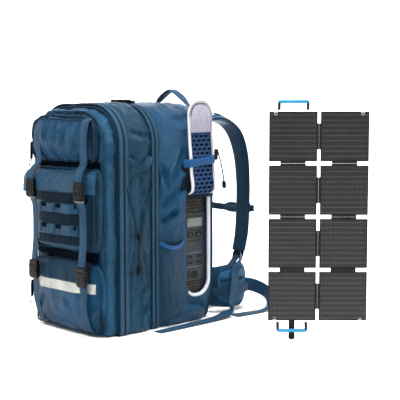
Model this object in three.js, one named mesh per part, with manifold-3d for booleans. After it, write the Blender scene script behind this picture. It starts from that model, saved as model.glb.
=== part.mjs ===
// A 60-litre solar backpack: a three-section pack with a power station in a side bay,
// and the eight-tile folding solar panel that charges it, standing beside the pack.
// Millimetres, +Z up. The origin is the centre of the pack's base, on the floor.
// +X is the side with the power bay, -Y is the front with the pockets, +Y is the wearer's side.
import * as THREE from "three";
import { mergeVertices } from "three/addons/utils/BufferGeometryUtils.js";
import Module from "manifold-3d";

const wasm = await Module();
wasm.setup();

// ---- driving dimensions ----
const GAP = 0.4; // between pieces that touch
const BODY_HALF_WIDTH = 158;
const BODY_HEIGHT = 592;
const FRONT_Y = -176; // front of the main compartment
const SPLIT_Y = -30; // seam between main and rear compartments
const BACK_Y = 176;
const TOP_RADIUS = 100;
const BASE_RADIUS = 24;

const FRONT_BOX = { halfWidth: 140, bottom: 8, top: 578, depth: 32 };
const POCKET_Y = FRONT_Y - FRONT_BOX.depth - GAP; // back face of the pockets
const TOP_POCKET = { halfWidth: 120, bottom: 432, top: 562, front: -236 };
const MOLLE_POCKET = { halfWidth: 121, bottom: 228, top: 424, front: -244 };
const LOWER_POCKET = { halfWidth: 140, bottom: 10, top: 207, front: -242 };
const FLAP_WIDTH = 278;
const FLAP_FRONT_Y = -248.5;
const FLAP_TOP_Z = 426;
const FLAP_BOTTOM_Z = 372;

const STRAP_X = 98; // centres of the front compression straps
const WEBBING = 30;
const FRONT_WEBBING = 25;
const WEBBING_THICK = 2;

const BAY = { yMin: 60, yMax: 158, bottom: 74, top: 342, depth: 296 };
const SIDE_WALL = 8; // side skin and padding around the bay's window
const STATION = { length: 284, clearance: 1 };
const COVER = { width: 97, length: 262, thick: 6, hingeZ: 345, restX: 167 };

const BOTTLE = { yMin: -34, yMax: 54, bottom: 20, top: 238, bulge: 22, wall: 2 };

const STRAP_PAD = { x: 76, width: 60, thick: 14 };
const STERNUM_Z = 284;

const WING = { height: 124, bottom: 12, thick: 22 };

const PANEL = { azimuth: 43.4, x: 532, y: 159, bottom: 48 };
const TILE = { width: 120, height: 124, thick: 4, columnGap: 8.4, rowGap: 10.4 };
const TAB = { across: 65, along: 63, split: 0.6 };
const ROWS = 4;

// ---- materials ----
const cloth = (color, roughness = 0.7) =>
  new THREE.MeshStandardMaterial({ color, roughness, metalness: 0 });
const shell = cloth(0x24507c, 0.6);
const shellDark = cloth(0x1c3f5c, 0.6);
const webbing = cloth(0x2b5581, 0.8);
const padding = cloth(0x16344a, 0.85);
const lining = cloth(0xb9b4c4, 0.6);
const plastic = cloth(0x1c1b19, 0.5);
const caseGrey = cloth(0x55565a, 0.55);
const screen = cloth(0x8f9290, 0.25);
const solarBlack = cloth(0x3c3d40, 0.4);
const gripBlue = cloth(0x3f93c4, 0.6);

// ---- solids ----
const pack = new THREE.Group();

function add(name, geometry, material, parent = pack) {
  const mesh = new THREE.Mesh(geometry, material);
  mesh.name = name;
  parent.add(mesh);
  return mesh;
}

function toSolid(geometry) {
  const plain = geometry.index ? geometry.toNonIndexed() : geometry;
  const bare = new THREE.BufferGeometry();
  bare.setAttribute("position", plain.getAttribute("position"));
  const merged = mergeVertices(bare, 1e-3);
  return new wasm.Manifold(
    new wasm.Mesh({
      numProp: 3,
      vertProperties: new Float32Array(merged.attributes.position.array),
      triVerts: new Uint32Array(merged.index.array),
    }),
  );
}

function toGeometry(solid) {
  const mesh = solid.getMesh();
  const geometry = new THREE.BufferGeometry();
  geometry.setAttribute("position", new THREE.BufferAttribute(mesh.vertProperties, 3));
  geometry.setIndex(new THREE.BufferAttribute(mesh.triVerts, 1));
  return geometry;
}

const cut = (a, ...rest) =>
  toGeometry(rest.reduce((solid, g) => solid.subtract(toSolid(g)), toSolid(a)));
const join = (a, ...rest) =>
  toGeometry(rest.reduce((solid, g) => solid.add(toSolid(g)), toSolid(a)));

function box(xMin, xMax, yMin, yMax, zMin, zMax) {
  return new THREE.BoxGeometry(xMax - xMin, yMax - yMin, zMax - zMin).translate(
    (xMin + xMax) / 2,
    (yMin + yMax) / 2,
    (zMin + zMax) / 2,
  );
}

// A closed skin through rings with equal numbers of points; the end rings are convex.
function loft(rings) {
  const n = rings[0].length;
  const points = rings.flat();
  const index = [];
  for (let i = 0; i + 1 < rings.length; i++)
    for (let j = 0; j < n; j++) {
      const a = i * n + j;
      const b = i * n + ((j + 1) % n);
      index.push(a, b, b + n, a, b + n, a + n);
    }
  const last = (rings.length - 1) * n;
  for (let j = 1; j + 1 < n; j++) {
    index.push(0, j + 1, j);
    index.push(last, last + j, last + j + 1);
  }
  let volume = 0;
  const [a, b, c] = [new THREE.Vector3(), new THREE.Vector3(), new THREE.Vector3()];
  for (let i = 0; i < index.length; i += 3) {
    a.copy(points[index[i]]);
    b.copy(points[index[i + 1]]);
    c.copy(points[index[i + 2]]);
    volume += a.dot(b.cross(c));
  }
  if (volume < 0) index.reverse();
  const geometry = new THREE.BufferGeometry().setFromPoints(points);
  geometry.setIndex(index);
  return geometry;
}

// Corner points of a rounded rectangle, counter-clockwise from the lower left.
function roundedOutline(halfWidth, bottom, top, lowerRadius, upperRadius, steps = 4) {
  const corners = [
    [-halfWidth + lowerRadius, bottom + lowerRadius, lowerRadius, 180],
    [halfWidth - lowerRadius, bottom + lowerRadius, lowerRadius, 270],
    [halfWidth - upperRadius, top - upperRadius, upperRadius, 0],
    [-halfWidth + upperRadius, top - upperRadius, upperRadius, 90],
  ];
  return corners.flatMap(([x, z, radius, start]) =>
    Array.from({ length: steps + 1 }, (_, i) => {
      const angle = THREE.MathUtils.degToRad(start + (90 * i) / steps);
      return [x + radius * Math.cos(angle), z + radius * Math.sin(angle)];
    }),
  );
}

// A cushion-like section of the pack: the same outline at several y, drawn in a little at the ends.
function section(spec, stations) {
  return loft(
    stations.map(([y, inset]) =>
      roundedOutline(
        spec.halfWidth - inset,
        spec.bottom + (spec.flatBase ? 0 : inset),
        spec.top - inset,
        spec.lowerRadius,
        spec.upperRadius,
        spec.steps,
      ).map(([x, z]) => new THREE.Vector3(x, y, z)),
    ),
  );
}

// A flat band along a curve through the points; side is the direction of its width at each point.
function ribbon(points, sides, width, thick, steps = 0) {
  let path = points.map((p) => new THREE.Vector3(...p));
  let across = Array.isArray(sides[0])
    ? sides.map((s) => new THREE.Vector3(...s).normalize())
    : path.map(() => new THREE.Vector3(...sides).normalize());
  if (steps) {
    const curve = new THREE.CatmullRomCurve3(path, false, "centripetal");
    const share = (i) => (i / steps) * (path.length - 1);
    const between = across;
    across = Array.from({ length: steps + 1 }, (_, i) => {
      const k = Math.min(Math.floor(share(i)), path.length - 2);
      return between[k].clone().lerp(between[k + 1], share(i) - k).normalize();
    });
    path = Array.from({ length: steps + 1 }, (_, i) => curve.getPoint(i / steps));
  }
  return loft(
    path.map((p, i) => {
      const before = path[Math.max(i - 1, 0)];
      const after = path[Math.min(i + 1, path.length - 1)];
      const tangent = after.clone().sub(before).normalize();
      const normal = tangent.cross(across[i]).normalize().multiplyScalar(thick / 2);
      const half = across[i].clone().multiplyScalar(width / 2);
      return [
        p.clone().sub(half).sub(normal),
        p.clone().add(half).sub(normal),
        p.clone().add(half).add(normal),
        p.clone().sub(half).add(normal),
      ];
    }),
  );
}

function tube(points, radius, steps, sides = 8) {
  const ring = new THREE.Shape(
    Array.from({ length: sides }, (_, i) => {
      const angle = (2 * Math.PI * (i + 0.5)) / sides;
      return new THREE.Vector2(radius * Math.cos(angle), radius * Math.sin(angle));
    }),
  );
  const curve = new THREE.CatmullRomCurve3(
    points.map((p) => new THREE.Vector3(...p)),
    false,
    "centripetal",
  );
  return new THREE.ExtrudeGeometry(ring, { steps, extrudePath: curve });
}

// ---- the pack's compartments ----
const compartment = {
  halfWidth: BODY_HALF_WIDTH,
  bottom: 0,
  top: BODY_HEIGHT,
  lowerRadius: BASE_RADIUS,
  upperRadius: TOP_RADIUS,
  flatBase: true,
  steps: 5,
};

add(
  "main_compartment",
  section(compartment, [
    [FRONT_Y, 5],
    [FRONT_Y + 10, 0],
    [SPLIT_Y - GAP - 6, 0],
    [SPLIT_Y - GAP, 4],
  ]),
  shellDark,
);

// A vertical slot outline with round lower corners, cut or extruded along x.
function windowOutline(width, bottom, top, radius) {
  const middle = (BAY.yMin + BAY.yMax) / 2;
  const shape = new THREE.Shape();
  shape.moveTo(middle - width / 2, top);
  shape.lineTo(middle - width / 2, bottom + radius);
  shape.absarc(middle - width / 2 + radius, bottom + radius, radius, Math.PI, 1.5 * Math.PI);
  shape.absarc(middle + width / 2 - radius, bottom + radius, radius, 1.5 * Math.PI, 2 * Math.PI);
  shape.lineTo(middle + width / 2, top);
  return shape;
}

function extrudeAlongX(shape, xMin, xMax, curveSegments = 5) {
  const depth = xMax - xMin;
  const geometry = new THREE.ExtrudeGeometry(shape, { depth, bevelEnabled: false, curveSegments });
  geometry.rotateZ(Math.PI / 2).rotateY(Math.PI / 2);
  return geometry.translate(xMin, 0, 0);
}

const WINDOW_RADIUS = 40;
const bayBox = box(
  BODY_HALF_WIDTH - SIDE_WALL - BAY.depth,
  BODY_HALF_WIDTH - SIDE_WALL,
  BAY.yMin,
  BAY.yMax,
  BAY.bottom,
  BAY.top,
);
const bayWindow = extrudeAlongX(
  windowOutline(BAY.yMax - BAY.yMin, BAY.bottom, BAY.top, WINDOW_RADIUS),
  BODY_HALF_WIDTH - SIDE_WALL - 1,
  BODY_HALF_WIDTH + 5,
);
add(
  "rear_compartment",
  cut(
    section(compartment, [
      [SPLIT_Y, 4],
      [SPLIT_Y + 6, 0],
      [BACK_Y - 12, 0],
      [BACK_Y, 8],
    ]),
    bayBox,
    bayWindow,
  ),
  shell,
);

add(
  "front_compartment",
  section({ ...FRONT_BOX, lowerRadius: 30, upperRadius: 92, steps: 4 }, [
    [FRONT_Y - GAP, 0],
    [FRONT_Y - FRONT_BOX.depth + 8, 2],
    [FRONT_Y - FRONT_BOX.depth, 9],
  ]),
  shell,
);

// ---- front pockets ----
add(
  "top_pocket",
  section({ ...TOP_POCKET, lowerRadius: 14, upperRadius: 42 }, [
    [POCKET_Y, 0],
    [TOP_POCKET.front + 8, 1],
    [TOP_POCKET.front, 7],
  ]),
  shell,
);
add(
  "molle_pocket",
  section({ ...MOLLE_POCKET, lowerRadius: 14, upperRadius: 12, steps: 3 }, [
    [POCKET_Y, 0],
    [MOLLE_POCKET.front + 8, 0],
    [MOLLE_POCKET.front, 6],
  ]),
  shellDark,
);
add(
  "molle_flap",
  ribbon(
    [
      [0, POCKET_Y - 1, FLAP_TOP_Z],
      [0, FLAP_FRONT_Y + 9, FLAP_TOP_Z],
      [0, FLAP_FRONT_Y, FLAP_TOP_Z - 8],
      [0, FLAP_FRONT_Y, FLAP_BOTTOM_Z],
    ],
    [1, 0, 0],
    FLAP_WIDTH,
    3,
  ),
  webbing,
);

const lowerProfile = [
  [POCKET_Y, LOWER_POCKET.bottom],
  [-222, LOWER_POCKET.bottom + 6],
  [-234, 50],
  [LOWER_POCKET.front, 100],
  [LOWER_POCKET.front, 165],
  [-236, 193],
  [-224, LOWER_POCKET.top - 2],
  [POCKET_Y, LOWER_POCKET.top],
];
const lowerRing = (x, inset) =>
  lowerProfile.map(([y, z]) => {
    const inward = Math.sign(LOWER_POCKET.bottom + 90 - z) * inset;
    return new THREE.Vector3(x, Math.min(y + inset, POCKET_Y), z + inward);
  });
add(
  "lower_pocket",
  loft([
    lowerRing(-LOWER_POCKET.halfWidth, 9),
    lowerRing(-LOWER_POCKET.halfWidth + 10, 0),
    lowerRing(LOWER_POCKET.halfWidth - 10, 0),
    lowerRing(LOWER_POCKET.halfWidth, 9),
  ]),
  shell,
);

// ---- bottle pockets, one on each side ----
for (const [side, sign] of [
  ["right", 1],
  ["left", -1],
]) {
  const face = BODY_HALF_WIDTH + GAP;
  const outer = face + BOTTLE.bulge;
  const middle = (BOTTLE.yMin + BOTTLE.yMax) / 2;
  const ring = (z, bulge, inset) =>
    [
      [face, BOTTLE.yMin + inset],
      [face + bulge * 0.7, BOTTLE.yMin + 6 + inset],
      [face + bulge, middle - 20],
      [face + bulge, middle + 20],
      [face + bulge * 0.7, BOTTLE.yMax - 6 - inset],
      [face, BOTTLE.yMax - inset],
    ].map(([x, y]) => new THREE.Vector3(sign * x, y, z));
  const skin = loft([
    ring(BOTTLE.bottom, 8, 6),
    ring(BOTTLE.bottom + 22, outer - face, 0),
    ring(BOTTLE.top, outer - face, 0),
  ]);
  const inner = ring(BOTTLE.top + 1, outer - face, 0).map(
    (p) => new THREE.Vector3(p.x, middle + (p.y - middle) * 0.95, p.z),
  );
  const hollow = loft(
    [BOTTLE.bottom + 24, BOTTLE.top + 1].map((z) =>
      inner.map((p) => {
        const x = Math.min(Math.abs(p.x), outer - BOTTLE.wall);
        return new THREE.Vector3(sign * Math.max(x, face + BOTTLE.wall), p.y, z);
      }),
    ),
  );
  add(`bottle_pocket_${side}`, cut(skin, hollow), shell);
}

// ---- back padding ----
add(
  "back_pad",
  section(
    { halfWidth: 118, bottom: 30, top: 505, lowerRadius: 30, upperRadius: 40, steps: 3 },
    [
      [BACK_Y + GAP, 0],
      [BACK_Y + 10, 2],
      [BACK_Y + 15, 12],
    ],
  ),
  padding,
);

// ---- power station ----
const station = {
  xMax: BODY_HALF_WIDTH - SIDE_WALL - 8,
  yMin: BAY.yMin + STATION.clearance,
  yMax: BAY.yMax - STATION.clearance,
  bottom: BAY.bottom + STATION.clearance,
  top: BAY.top - STATION.clearance,
};
station.xMin = station.xMax - STATION.length;
const CASE_WALL = 4;
add(
  "station_case",
  cut(
    box(station.xMin, station.xMax, station.yMin, station.yMax, station.bottom, station.top),
    box(
      station.xMin + CASE_WALL,
      station.xMax + 1,
      station.yMin + CASE_WALL,
      station.yMax - CASE_WALL,
      station.bottom + CASE_WALL,
      station.top - CASE_WALL,
    ),
  ),
  caseGrey,
);
add(
  "station_battery",
  box(
    station.xMin + CASE_WALL + 6,
    station.xMax - 60,
    station.yMin + CASE_WALL + 5,
    station.yMax - CASE_WALL - 5,
    station.bottom + CASE_WALL + GAP,
    station.top - 70,
  ),
  plastic,
);

// The port plate closes the case; the screen, sockets and buttons sit in its holes.
const bayMiddle = (BAY.yMin + BAY.yMax) / 2;
const plate = { xMin: station.xMax + GAP, xMax: station.xMax + 5 };
const FACE_PARTS = {
  display: { y: bayMiddle, z: 271, width: 58, height: 26 },
  usb: { y: bayMiddle, z: 168, width: 62, height: 32 },
  outlet: { y: bayMiddle - 4, z: 127, width: 40, height: 26 },
  power: { y: bayMiddle - 16, z: 236, width: 14, height: 10 },
  ac: { y: bayMiddle + 16, z: 236, width: 14, height: 10 },
};
const facePart = ({ y, z, width, height }, xMin, xMax, shrink = 0) =>
  box(
    xMin,
    xMax,
    y - width / 2 + shrink,
    y + width / 2 - shrink,
    z - height / 2 + shrink,
    z + height / 2 - shrink,
  );
add(
  "station_fascia",
  cut(
    box(plate.xMin, plate.xMax, station.yMin, station.yMax, station.bottom, station.top),
    ...Object.values(FACE_PARTS).map((part) => facePart(part, plate.xMin - 1, plate.xMax + 1)),
  ),
  caseGrey,
);
add("station_display", facePart(FACE_PARTS.display, plate.xMin, plate.xMax - 1, GAP), screen);
add("station_usb_block", facePart(FACE_PARTS.usb, plate.xMin, plate.xMax + 0.6, GAP), plastic);
add("station_ac_outlet", facePart(FACE_PARTS.outlet, plate.xMin, plate.xMax + 1, GAP), plastic);
add("power_button", facePart(FACE_PARTS.power, plate.xMin + 2, plate.xMax + 1.6, GAP), plastic);
add("ac_button", facePart(FACE_PARTS.ac, plate.xMin + 2, plate.xMax + 1.6, GAP), plastic);

// ---- port cover, unzipped and folded up against the side ----
const coverOutline = new THREE.Shape();
const coverTop = COVER.hingeZ + COVER.length;
const coverHalf = COVER.width / 2;
coverOutline.moveTo(bayMiddle - coverHalf, COVER.hingeZ + 2);
coverOutline.lineTo(bayMiddle + coverHalf, COVER.hingeZ + 2);
coverOutline.lineTo(bayMiddle + coverHalf, coverTop - WINDOW_RADIUS);
coverOutline.absarc(
  bayMiddle + coverHalf - WINDOW_RADIUS,
  coverTop - WINDOW_RADIUS,
  WINDOW_RADIUS,
  0,
  Math.PI / 2,
);
coverOutline.absarc(
  bayMiddle - coverHalf + WINDOW_RADIUS,
  coverTop - WINDOW_RADIUS,
  WINDOW_RADIUS,
  Math.PI / 2,
  Math.PI,
);
add("port_cover", extrudeAlongX(coverOutline, COVER.restX, COVER.restX + COVER.thick), lining);
const COVER_STRAP_Z = 442;
add(
  "port_cover_strap",
  ribbon(
    [
      [COVER.restX + COVER.thick + 2, bayMiddle - coverHalf - 4, COVER_STRAP_Z - 4],
      [COVER.restX + COVER.thick + 2, bayMiddle + coverHalf + 4, COVER_STRAP_Z + 6],
    ],
    [0, 0, 1],
    22,
    WEBBING_THICK,
  ),
  webbing,
);
const COVER_CORD = [
  [172, 175, 470],
  [174, 178, 456],
  [176, 186, 430],
  [177, 194, 395],
  [177, 198, 366],
];
add("cover_zip_cord", tube(COVER_CORD, 1.5, 12), plastic);

// ---- carry handle ----
const HANDLE = { y: 168, halfSpan: 55, pivotZ: 600, height: 34 };
const handleSteps = [
  [-HANDLE.halfSpan, 0, 8],
  [-HANDLE.halfSpan * 0.72, HANDLE.height * 0.45, 16],
  [-HANDLE.halfSpan * 0.3, HANDLE.height * 0.9, 22],
  [0, HANDLE.height, 22],
  [HANDLE.halfSpan * 0.3, HANDLE.height * 0.9, 22],
  [HANDLE.halfSpan * 0.72, HANDLE.height * 0.45, 16],
  [HANDLE.halfSpan, 0, 8],
];
add(
  "carry_handle",
  loft(
    handleSteps.map(([x, rise, width], i) => {
      const before = handleSteps[Math.max(i - 1, 0)];
      const after = handleSteps[Math.min(i + 1, handleSteps.length - 1)];
      const slope = new THREE.Vector3(after[0] - before[0], 0, after[1] - before[1]).normalize();
      const normal = new THREE.Vector3(-slope.z, 0, slope.x).multiplyScalar(2);
      const centre = new THREE.Vector3(x, HANDLE.y, HANDLE.pivotZ + rise);
      const half = new THREE.Vector3(0, width / 2, 0);
      return [
        centre.clone().sub(half).sub(normal),
        centre.clone().add(half).sub(normal),
        centre.clone().add(half).add(normal),
        centre.clone().sub(half).add(normal),
      ];
    }),
  ),
  webbing,
);

// ---- zip sliders ----
// Each is a slider body with its pull, standing on the skin it runs along.
const SIDE_ZIP = { x: BODY_HALF_WIDTH + GAP, y: -112, z: 252 };
add(
  "side_zip_slider",
  join(
    box(SIDE_ZIP.x, SIDE_ZIP.x + 5, SIDE_ZIP.y - 5, SIDE_ZIP.y + 5, SIDE_ZIP.z - 8, SIDE_ZIP.z + 8),
    box(SIDE_ZIP.x + 3, SIDE_ZIP.x + 8, SIDE_ZIP.y - 2, SIDE_ZIP.y + 2, SIDE_ZIP.z - 4, SIDE_ZIP.z + 5),
    box(SIDE_ZIP.x + 6, SIDE_ZIP.x + 8, SIDE_ZIP.y - 4, SIDE_ZIP.y + 4, SIDE_ZIP.z - 22, SIDE_ZIP.z + 5),
  ),
  plastic,
);
const SIDE_CORD = [
  [SIDE_ZIP.x + 7, SIDE_ZIP.y, SIDE_ZIP.z - 23],
  [SIDE_ZIP.x + 6, SIDE_ZIP.y, SIDE_ZIP.z - 45],
  [SIDE_ZIP.x + 4.5, SIDE_ZIP.y + 1, SIDE_ZIP.z - 70],
  [SIDE_ZIP.x + 4, SIDE_ZIP.y + 2, SIDE_ZIP.z - 98],
];
add("side_zip_cord", tube(SIDE_CORD, 1.8, 10), plastic);
for (const [name, x, y, z] of [
  ["lower_zip_slider", -LOWER_POCKET.halfWidth - GAP, -222, 110],
  ["top_zip_slider", -TOP_POCKET.halfWidth - GAP - 0.4, -222, 486],
]) {
  add(
    name,
    join(
      box(x - 5, x, y - 4, y + 4, z - 7, z + 7),
      box(x - 7, x - 4, y - 2.5, y + 2.5, z - 40, z + 4),
    ),
    plastic,
  );
}

// ---- front compression straps and their side-release buckles ----
const BUCKLES = [
  ["upper", -258, 374],
  ["lower", -252, 160],
];
const BUCKLE = { width: 32, thick: 12, socket: 32, latch: 12 };

function buckleFemale(x, y, z) {
  const bottom = z - 22;
  const top = bottom + BUCKLE.socket;
  const half = BUCKLE.width / 2;
  const body = box(x - half, x + half, y - BUCKLE.thick / 2, y + BUCKLE.thick / 2, bottom, top);
  const socket = box(x - half + 3, x + half - 3, y - 3.5, y + 3.5, bottom + 8, top + 1);
  const bar = box(x - 12.8, x + 12.8, y - 3, y + 8, bottom + 2.5, bottom + 5.5);
  const sideWindows = box(x - half - 1, x + half + 1, y - 3.5, y + 3.5, bottom + 12, bottom + 22);
  return cut(body, socket, bar, sideWindows);
}

function buckleMale(x, y, z) {
  const seat = z - 22 + BUCKLE.socket + GAP;
  const half = BUCKLE.width / 2;
  const base = box(x - half, x + half, y - 4.5, y + 4.5, seat, seat + BUCKLE.latch);
  const prongs = [-1, 1].map((side) =>
    box(x + side * 9.4 - 2.5, x + side * 9.4 + 2.5, y - 2.6, y + 2.6, seat - 19, seat + 1),
  );
  const guide = box(x - 3, x + 3, y - 2.6, y + 2.6, seat - 15, seat + 1);
  return cut(join(base, ...prongs, guide), box(x - 12.8, x + 12.8, y - 5, y + 5, seat + 6, seat + 8.5));
}

for (const [side, sign] of [
  ["right", 1],
  ["left", -1],
]) {
  const x = sign * STRAP_X;
  for (const [level, y, z] of BUCKLES) {
    add(`buckle_${level}_${side}_socket`, buckleFemale(x, y, z), plastic);
    add(`buckle_${level}_${side}_latch`, buckleMale(x, y, z), plastic);
  }
  add(
    `strap_upper_${side}`,
    ribbon(
      [
        [x, TOP_POCKET.front - 1.6, 545],
        [x, TOP_POCKET.front - 1.6, 441],
        [x, -252, 424],
        [x, -252, 402],
      ],
      [1, 0, 0],
      FRONT_WEBBING,
      WEBBING_THICK,
    ),
    webbing,
  );
  add(
    `strap_middle_${side}`,
    ribbon(
      [
        [x, -253, 349],
        [x, MOLLE_POCKET.front - 3, 334],
        [x, MOLLE_POCKET.front - 1.6, 320],
        [x, MOLLE_POCKET.front - 1.6, 240],
        [x, -246, 188],
      ],
      [1, 0, 0],
      FRONT_WEBBING,
      WEBBING_THICK,
    ),
    webbing,
  );
}

// ---- top compression buckle ----
const TOP_BUCKLE = { y: -20, z: BODY_HEIGHT + GAP };
add(
  "top_buckle",
  join(
    box(-18, 18, TOP_BUCKLE.y - 20, TOP_BUCKLE.y + 12, TOP_BUCKLE.z, TOP_BUCKLE.z + 11),
    box(-16, 16, TOP_BUCKLE.y + 11, TOP_BUCKLE.y + 30, TOP_BUCKLE.z, TOP_BUCKLE.z + 8),
  ),
  plastic,
);

// ---- shoulder straps ----
const padPath = [
  [BACK_Y + 4, 530],
  [230, 541],
  [285, 530],
  [345, 478],
  [385, 400],
  [397, 300],
  [388, 215],
  [362, 158],
];
const webPath = [
  [356, 146],
  [330, 118],
  [270, 84],
  [200, 62],
];
for (const [side, sign] of [
  ["right", 1],
  ["left", -1],
]) {
  const x = sign * STRAP_PAD.x;
  const along = (path) => path.map(([y, z]) => [x, y, z]);
  add(
    `shoulder_strap_${side}`,
    ribbon(along(padPath), [1, 0, 0], STRAP_PAD.width, STRAP_PAD.thick, 20),
    padding,
  );
  add(
    `shoulder_webbing_${side}`,
    ribbon(along(webPath), [1, 0, 0], WEBBING, WEBBING_THICK, 6),
    webbing,
  );
}
add(
  "sternum_webbing",
  box(-104, 104, 409, 411, STERNUM_Z - 10, STERNUM_Z + 10),
  webbing,
);
add(
  "sternum_buckle",
  box(-14, 34, 411 + GAP, 421, STERNUM_Z - 15, STERNUM_Z + 15),
  plastic,
);

// ---- hip belt ----
const wingPath = [
  [110, 208],
  [130, 226],
  [142, 262],
  [137, 305],
  [121, 335],
];
for (const [side, sign] of [
  ["right", 1],
  ["left", -1],
]) {
  add(
    `hip_wing_${side}`,
    ribbon(
      wingPath.map(([x, y]) => [sign * x, y, WING.bottom + WING.height / 2]),
      [0, 0, 1],
      WING.height,
      WING.thick,
      8,
    ),
    shell,
  );
}
// Belt webbing from the right wing's tip, looping down to the floor.
const BELT = 38;
add(
  "hip_webbing",
  ribbon(
    [
      [119, 349, 66],
      [141, 375, 58],
      [176, 388, 40],
      [206, 366, 14],
      [213, 318, 3],
      [208, 262, 2],
      [200, 214, 2],
    ],
    [
      [0, 0, 1],
      [0.1, 0, 1],
      [0.5, 0.1, 1],
      [1, 0.4, 0.55],
      [1, 0.1, 0.05],
      [1, -0.1, 0],
      [1, -0.15, 0],
    ],
    BELT,
    WEBBING_THICK,
    18,
  ),
  webbing,
);
// The loose tail, from the wing's face down and forward along the floor.
add(
  "hip_tail",
  ribbon(
    [
      [160, 262, 118],
      [165, 255, 84],
      [176, 238, 50],
      [191, 205, 16],
      [198, 150, 7],
      [198, 60, 5],
      [196, -24, 3],
      [193, -76, 2],
    ],
    [
      [0, -1, 0],
      [0.1, -1, -0.2],
      [0.4, -1, -0.5],
      [0.9, -0.7, -0.1],
      [1, -0.1, 0],
      [1, 0, 0],
      [1, 0, 0],
      [1, 0, 0],
    ],
    WEBBING,
    WEBBING_THICK,
    20,
  ),
  webbing,
);

// ---- folding solar panel ----
const panel = new THREE.Group();
panel.position.set(PANEL.x, PANEL.y, PANEL.bottom);
panel.rotation.z = THREE.MathUtils.degToRad(PANEL.azimuth);
pack.add(panel);

const rowBottom = (row) => (ROWS - row) * (TILE.height + TILE.rowGap);
const columnCentre = (sign) => (sign * (TILE.width + TILE.columnGap)) / 2;

// A tile's outline, with half of each fabric hinge tab that joins it to its neighbours.
function tileOutline(row, sign) {
  const halfWidth = TILE.width / 2;
  const [bottom, top] = [0, TILE.height];
  const reach = TILE.rowGap / 2 - TAB.split / 2;
  const sideReach = TILE.columnGap / 2 - TAB.split / 2;
  const points = [[-halfWidth, bottom]];
  if (row < ROWS)
    points.push(
      [-TAB.along / 2, bottom],
      [-TAB.along / 2, bottom - reach],
      [TAB.along / 2, bottom - reach],
      [TAB.along / 2, bottom],
    );
  points.push([halfWidth, bottom]);
  const sideTab = (x, direction) =>
    [
      [x, top / 2 - (direction * TAB.across) / 2],
      [x + Math.sign(x) * sideReach, top / 2 - (direction * TAB.across) / 2],
      [x + Math.sign(x) * sideReach, top / 2 + (direction * TAB.across) / 2],
      [x, top / 2 + (direction * TAB.across) / 2],
    ];
  if (sign < 0) points.push(...sideTab(halfWidth, 1));
  points.push([halfWidth, top]);
  if (row > 1)
    points.push(
      [TAB.along / 2, top],
      [TAB.along / 2, top + reach],
      [-TAB.along / 2, top + reach],
      [-TAB.along / 2, top],
    );
  points.push([-halfWidth, top]);
  if (sign > 0) points.push(...sideTab(-halfWidth, -1));
  return new THREE.Shape(points.map(([x, z]) => new THREE.Vector2(x, z)));
}

for (let row = 1; row <= ROWS; row++)
  for (const [side, sign] of [
    ["left", -1],
    ["right", 1],
  ]) {
    const shape = tileOutline(row, sign);
    if (row === 1 || row === ROWS) {
      const eyelet = new THREE.Path();
      const z = row === 1 ? TILE.height - 5 : 5;
      eyelet.absarc(sign * 44, z, 2.5, 0, 2 * Math.PI, true);
      shape.holes.push(eyelet);
    }
    const tile = new THREE.ExtrudeGeometry(shape, {
      depth: TILE.thick,
      bevelEnabled: false,
      curveSegments: 4,
    });
    tile.rotateX(Math.PI / 2).translate(columnCentre(sign), TILE.thick / 2, rowBottom(row));
    add(`solar_tile_${row}_${side}`, tile, solarBlack, panel);
  }

// Handles: one above the first row and one below the last, both on the left column.
const LOOP = { halfSpan: 35.5, height: 24, lean: 7, radius: 3.3, pivot: 4.4 };
function panelHandle(edgeZ, direction) {
  const x = columnCentre(-1);
  const at = (dx, lean, rise) => [x + dx, -lean, edgeZ + direction * rise];
  return tube(
    [
      at(-LOOP.halfSpan, 0, LOOP.pivot),
      at(-LOOP.halfSpan, LOOP.lean * 0.6, LOOP.height * 0.6),
      at(-LOOP.halfSpan + 4, LOOP.lean, LOOP.height),
      at(0, LOOP.lean, LOOP.height + 0.4),
      at(LOOP.halfSpan - 4, LOOP.lean, LOOP.height),
      at(LOOP.halfSpan, LOOP.lean * 0.6, LOOP.height * 0.6),
      at(LOOP.halfSpan, 0, LOOP.pivot),
    ],
    LOOP.radius,
    24,
  );
}
add("panel_handle_upper", panelHandle(rowBottom(1) + TILE.height, 1), gripBlue, panel);
add("panel_handle_lower", panelHandle(0, -1), gripBlue, panel);

// The output lead's connector, hanging from the bottom edge of the last tile.
const PLUG = { halfWidth: 6.3, thick: 4 };
const plugOutline = new THREE.Shape();
plugOutline.moveTo(-PLUG.halfWidth, -GAP);
plugOutline.lineTo(-PLUG.halfWidth, -PANEL.bottom + PLUG.halfWidth);
plugOutline.absarc(0, -PANEL.bottom + PLUG.halfWidth, PLUG.halfWidth, Math.PI, 2 * Math.PI);
plugOutline.lineTo(PLUG.halfWidth, -GAP);
const plug = new THREE.ExtrudeGeometry(plugOutline, {
  depth: PLUG.thick,
  bevelEnabled: false,
  curveSegments: 5,
});
plug.rotateX(Math.PI / 2).translate(columnCentre(-1), PLUG.thick / 2, 0);
add("panel_connector", plug, plastic, panel);

export default pack;
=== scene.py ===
"""Looks of the solar backpack, its power station and its folding panel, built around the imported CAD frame."""

import math

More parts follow.
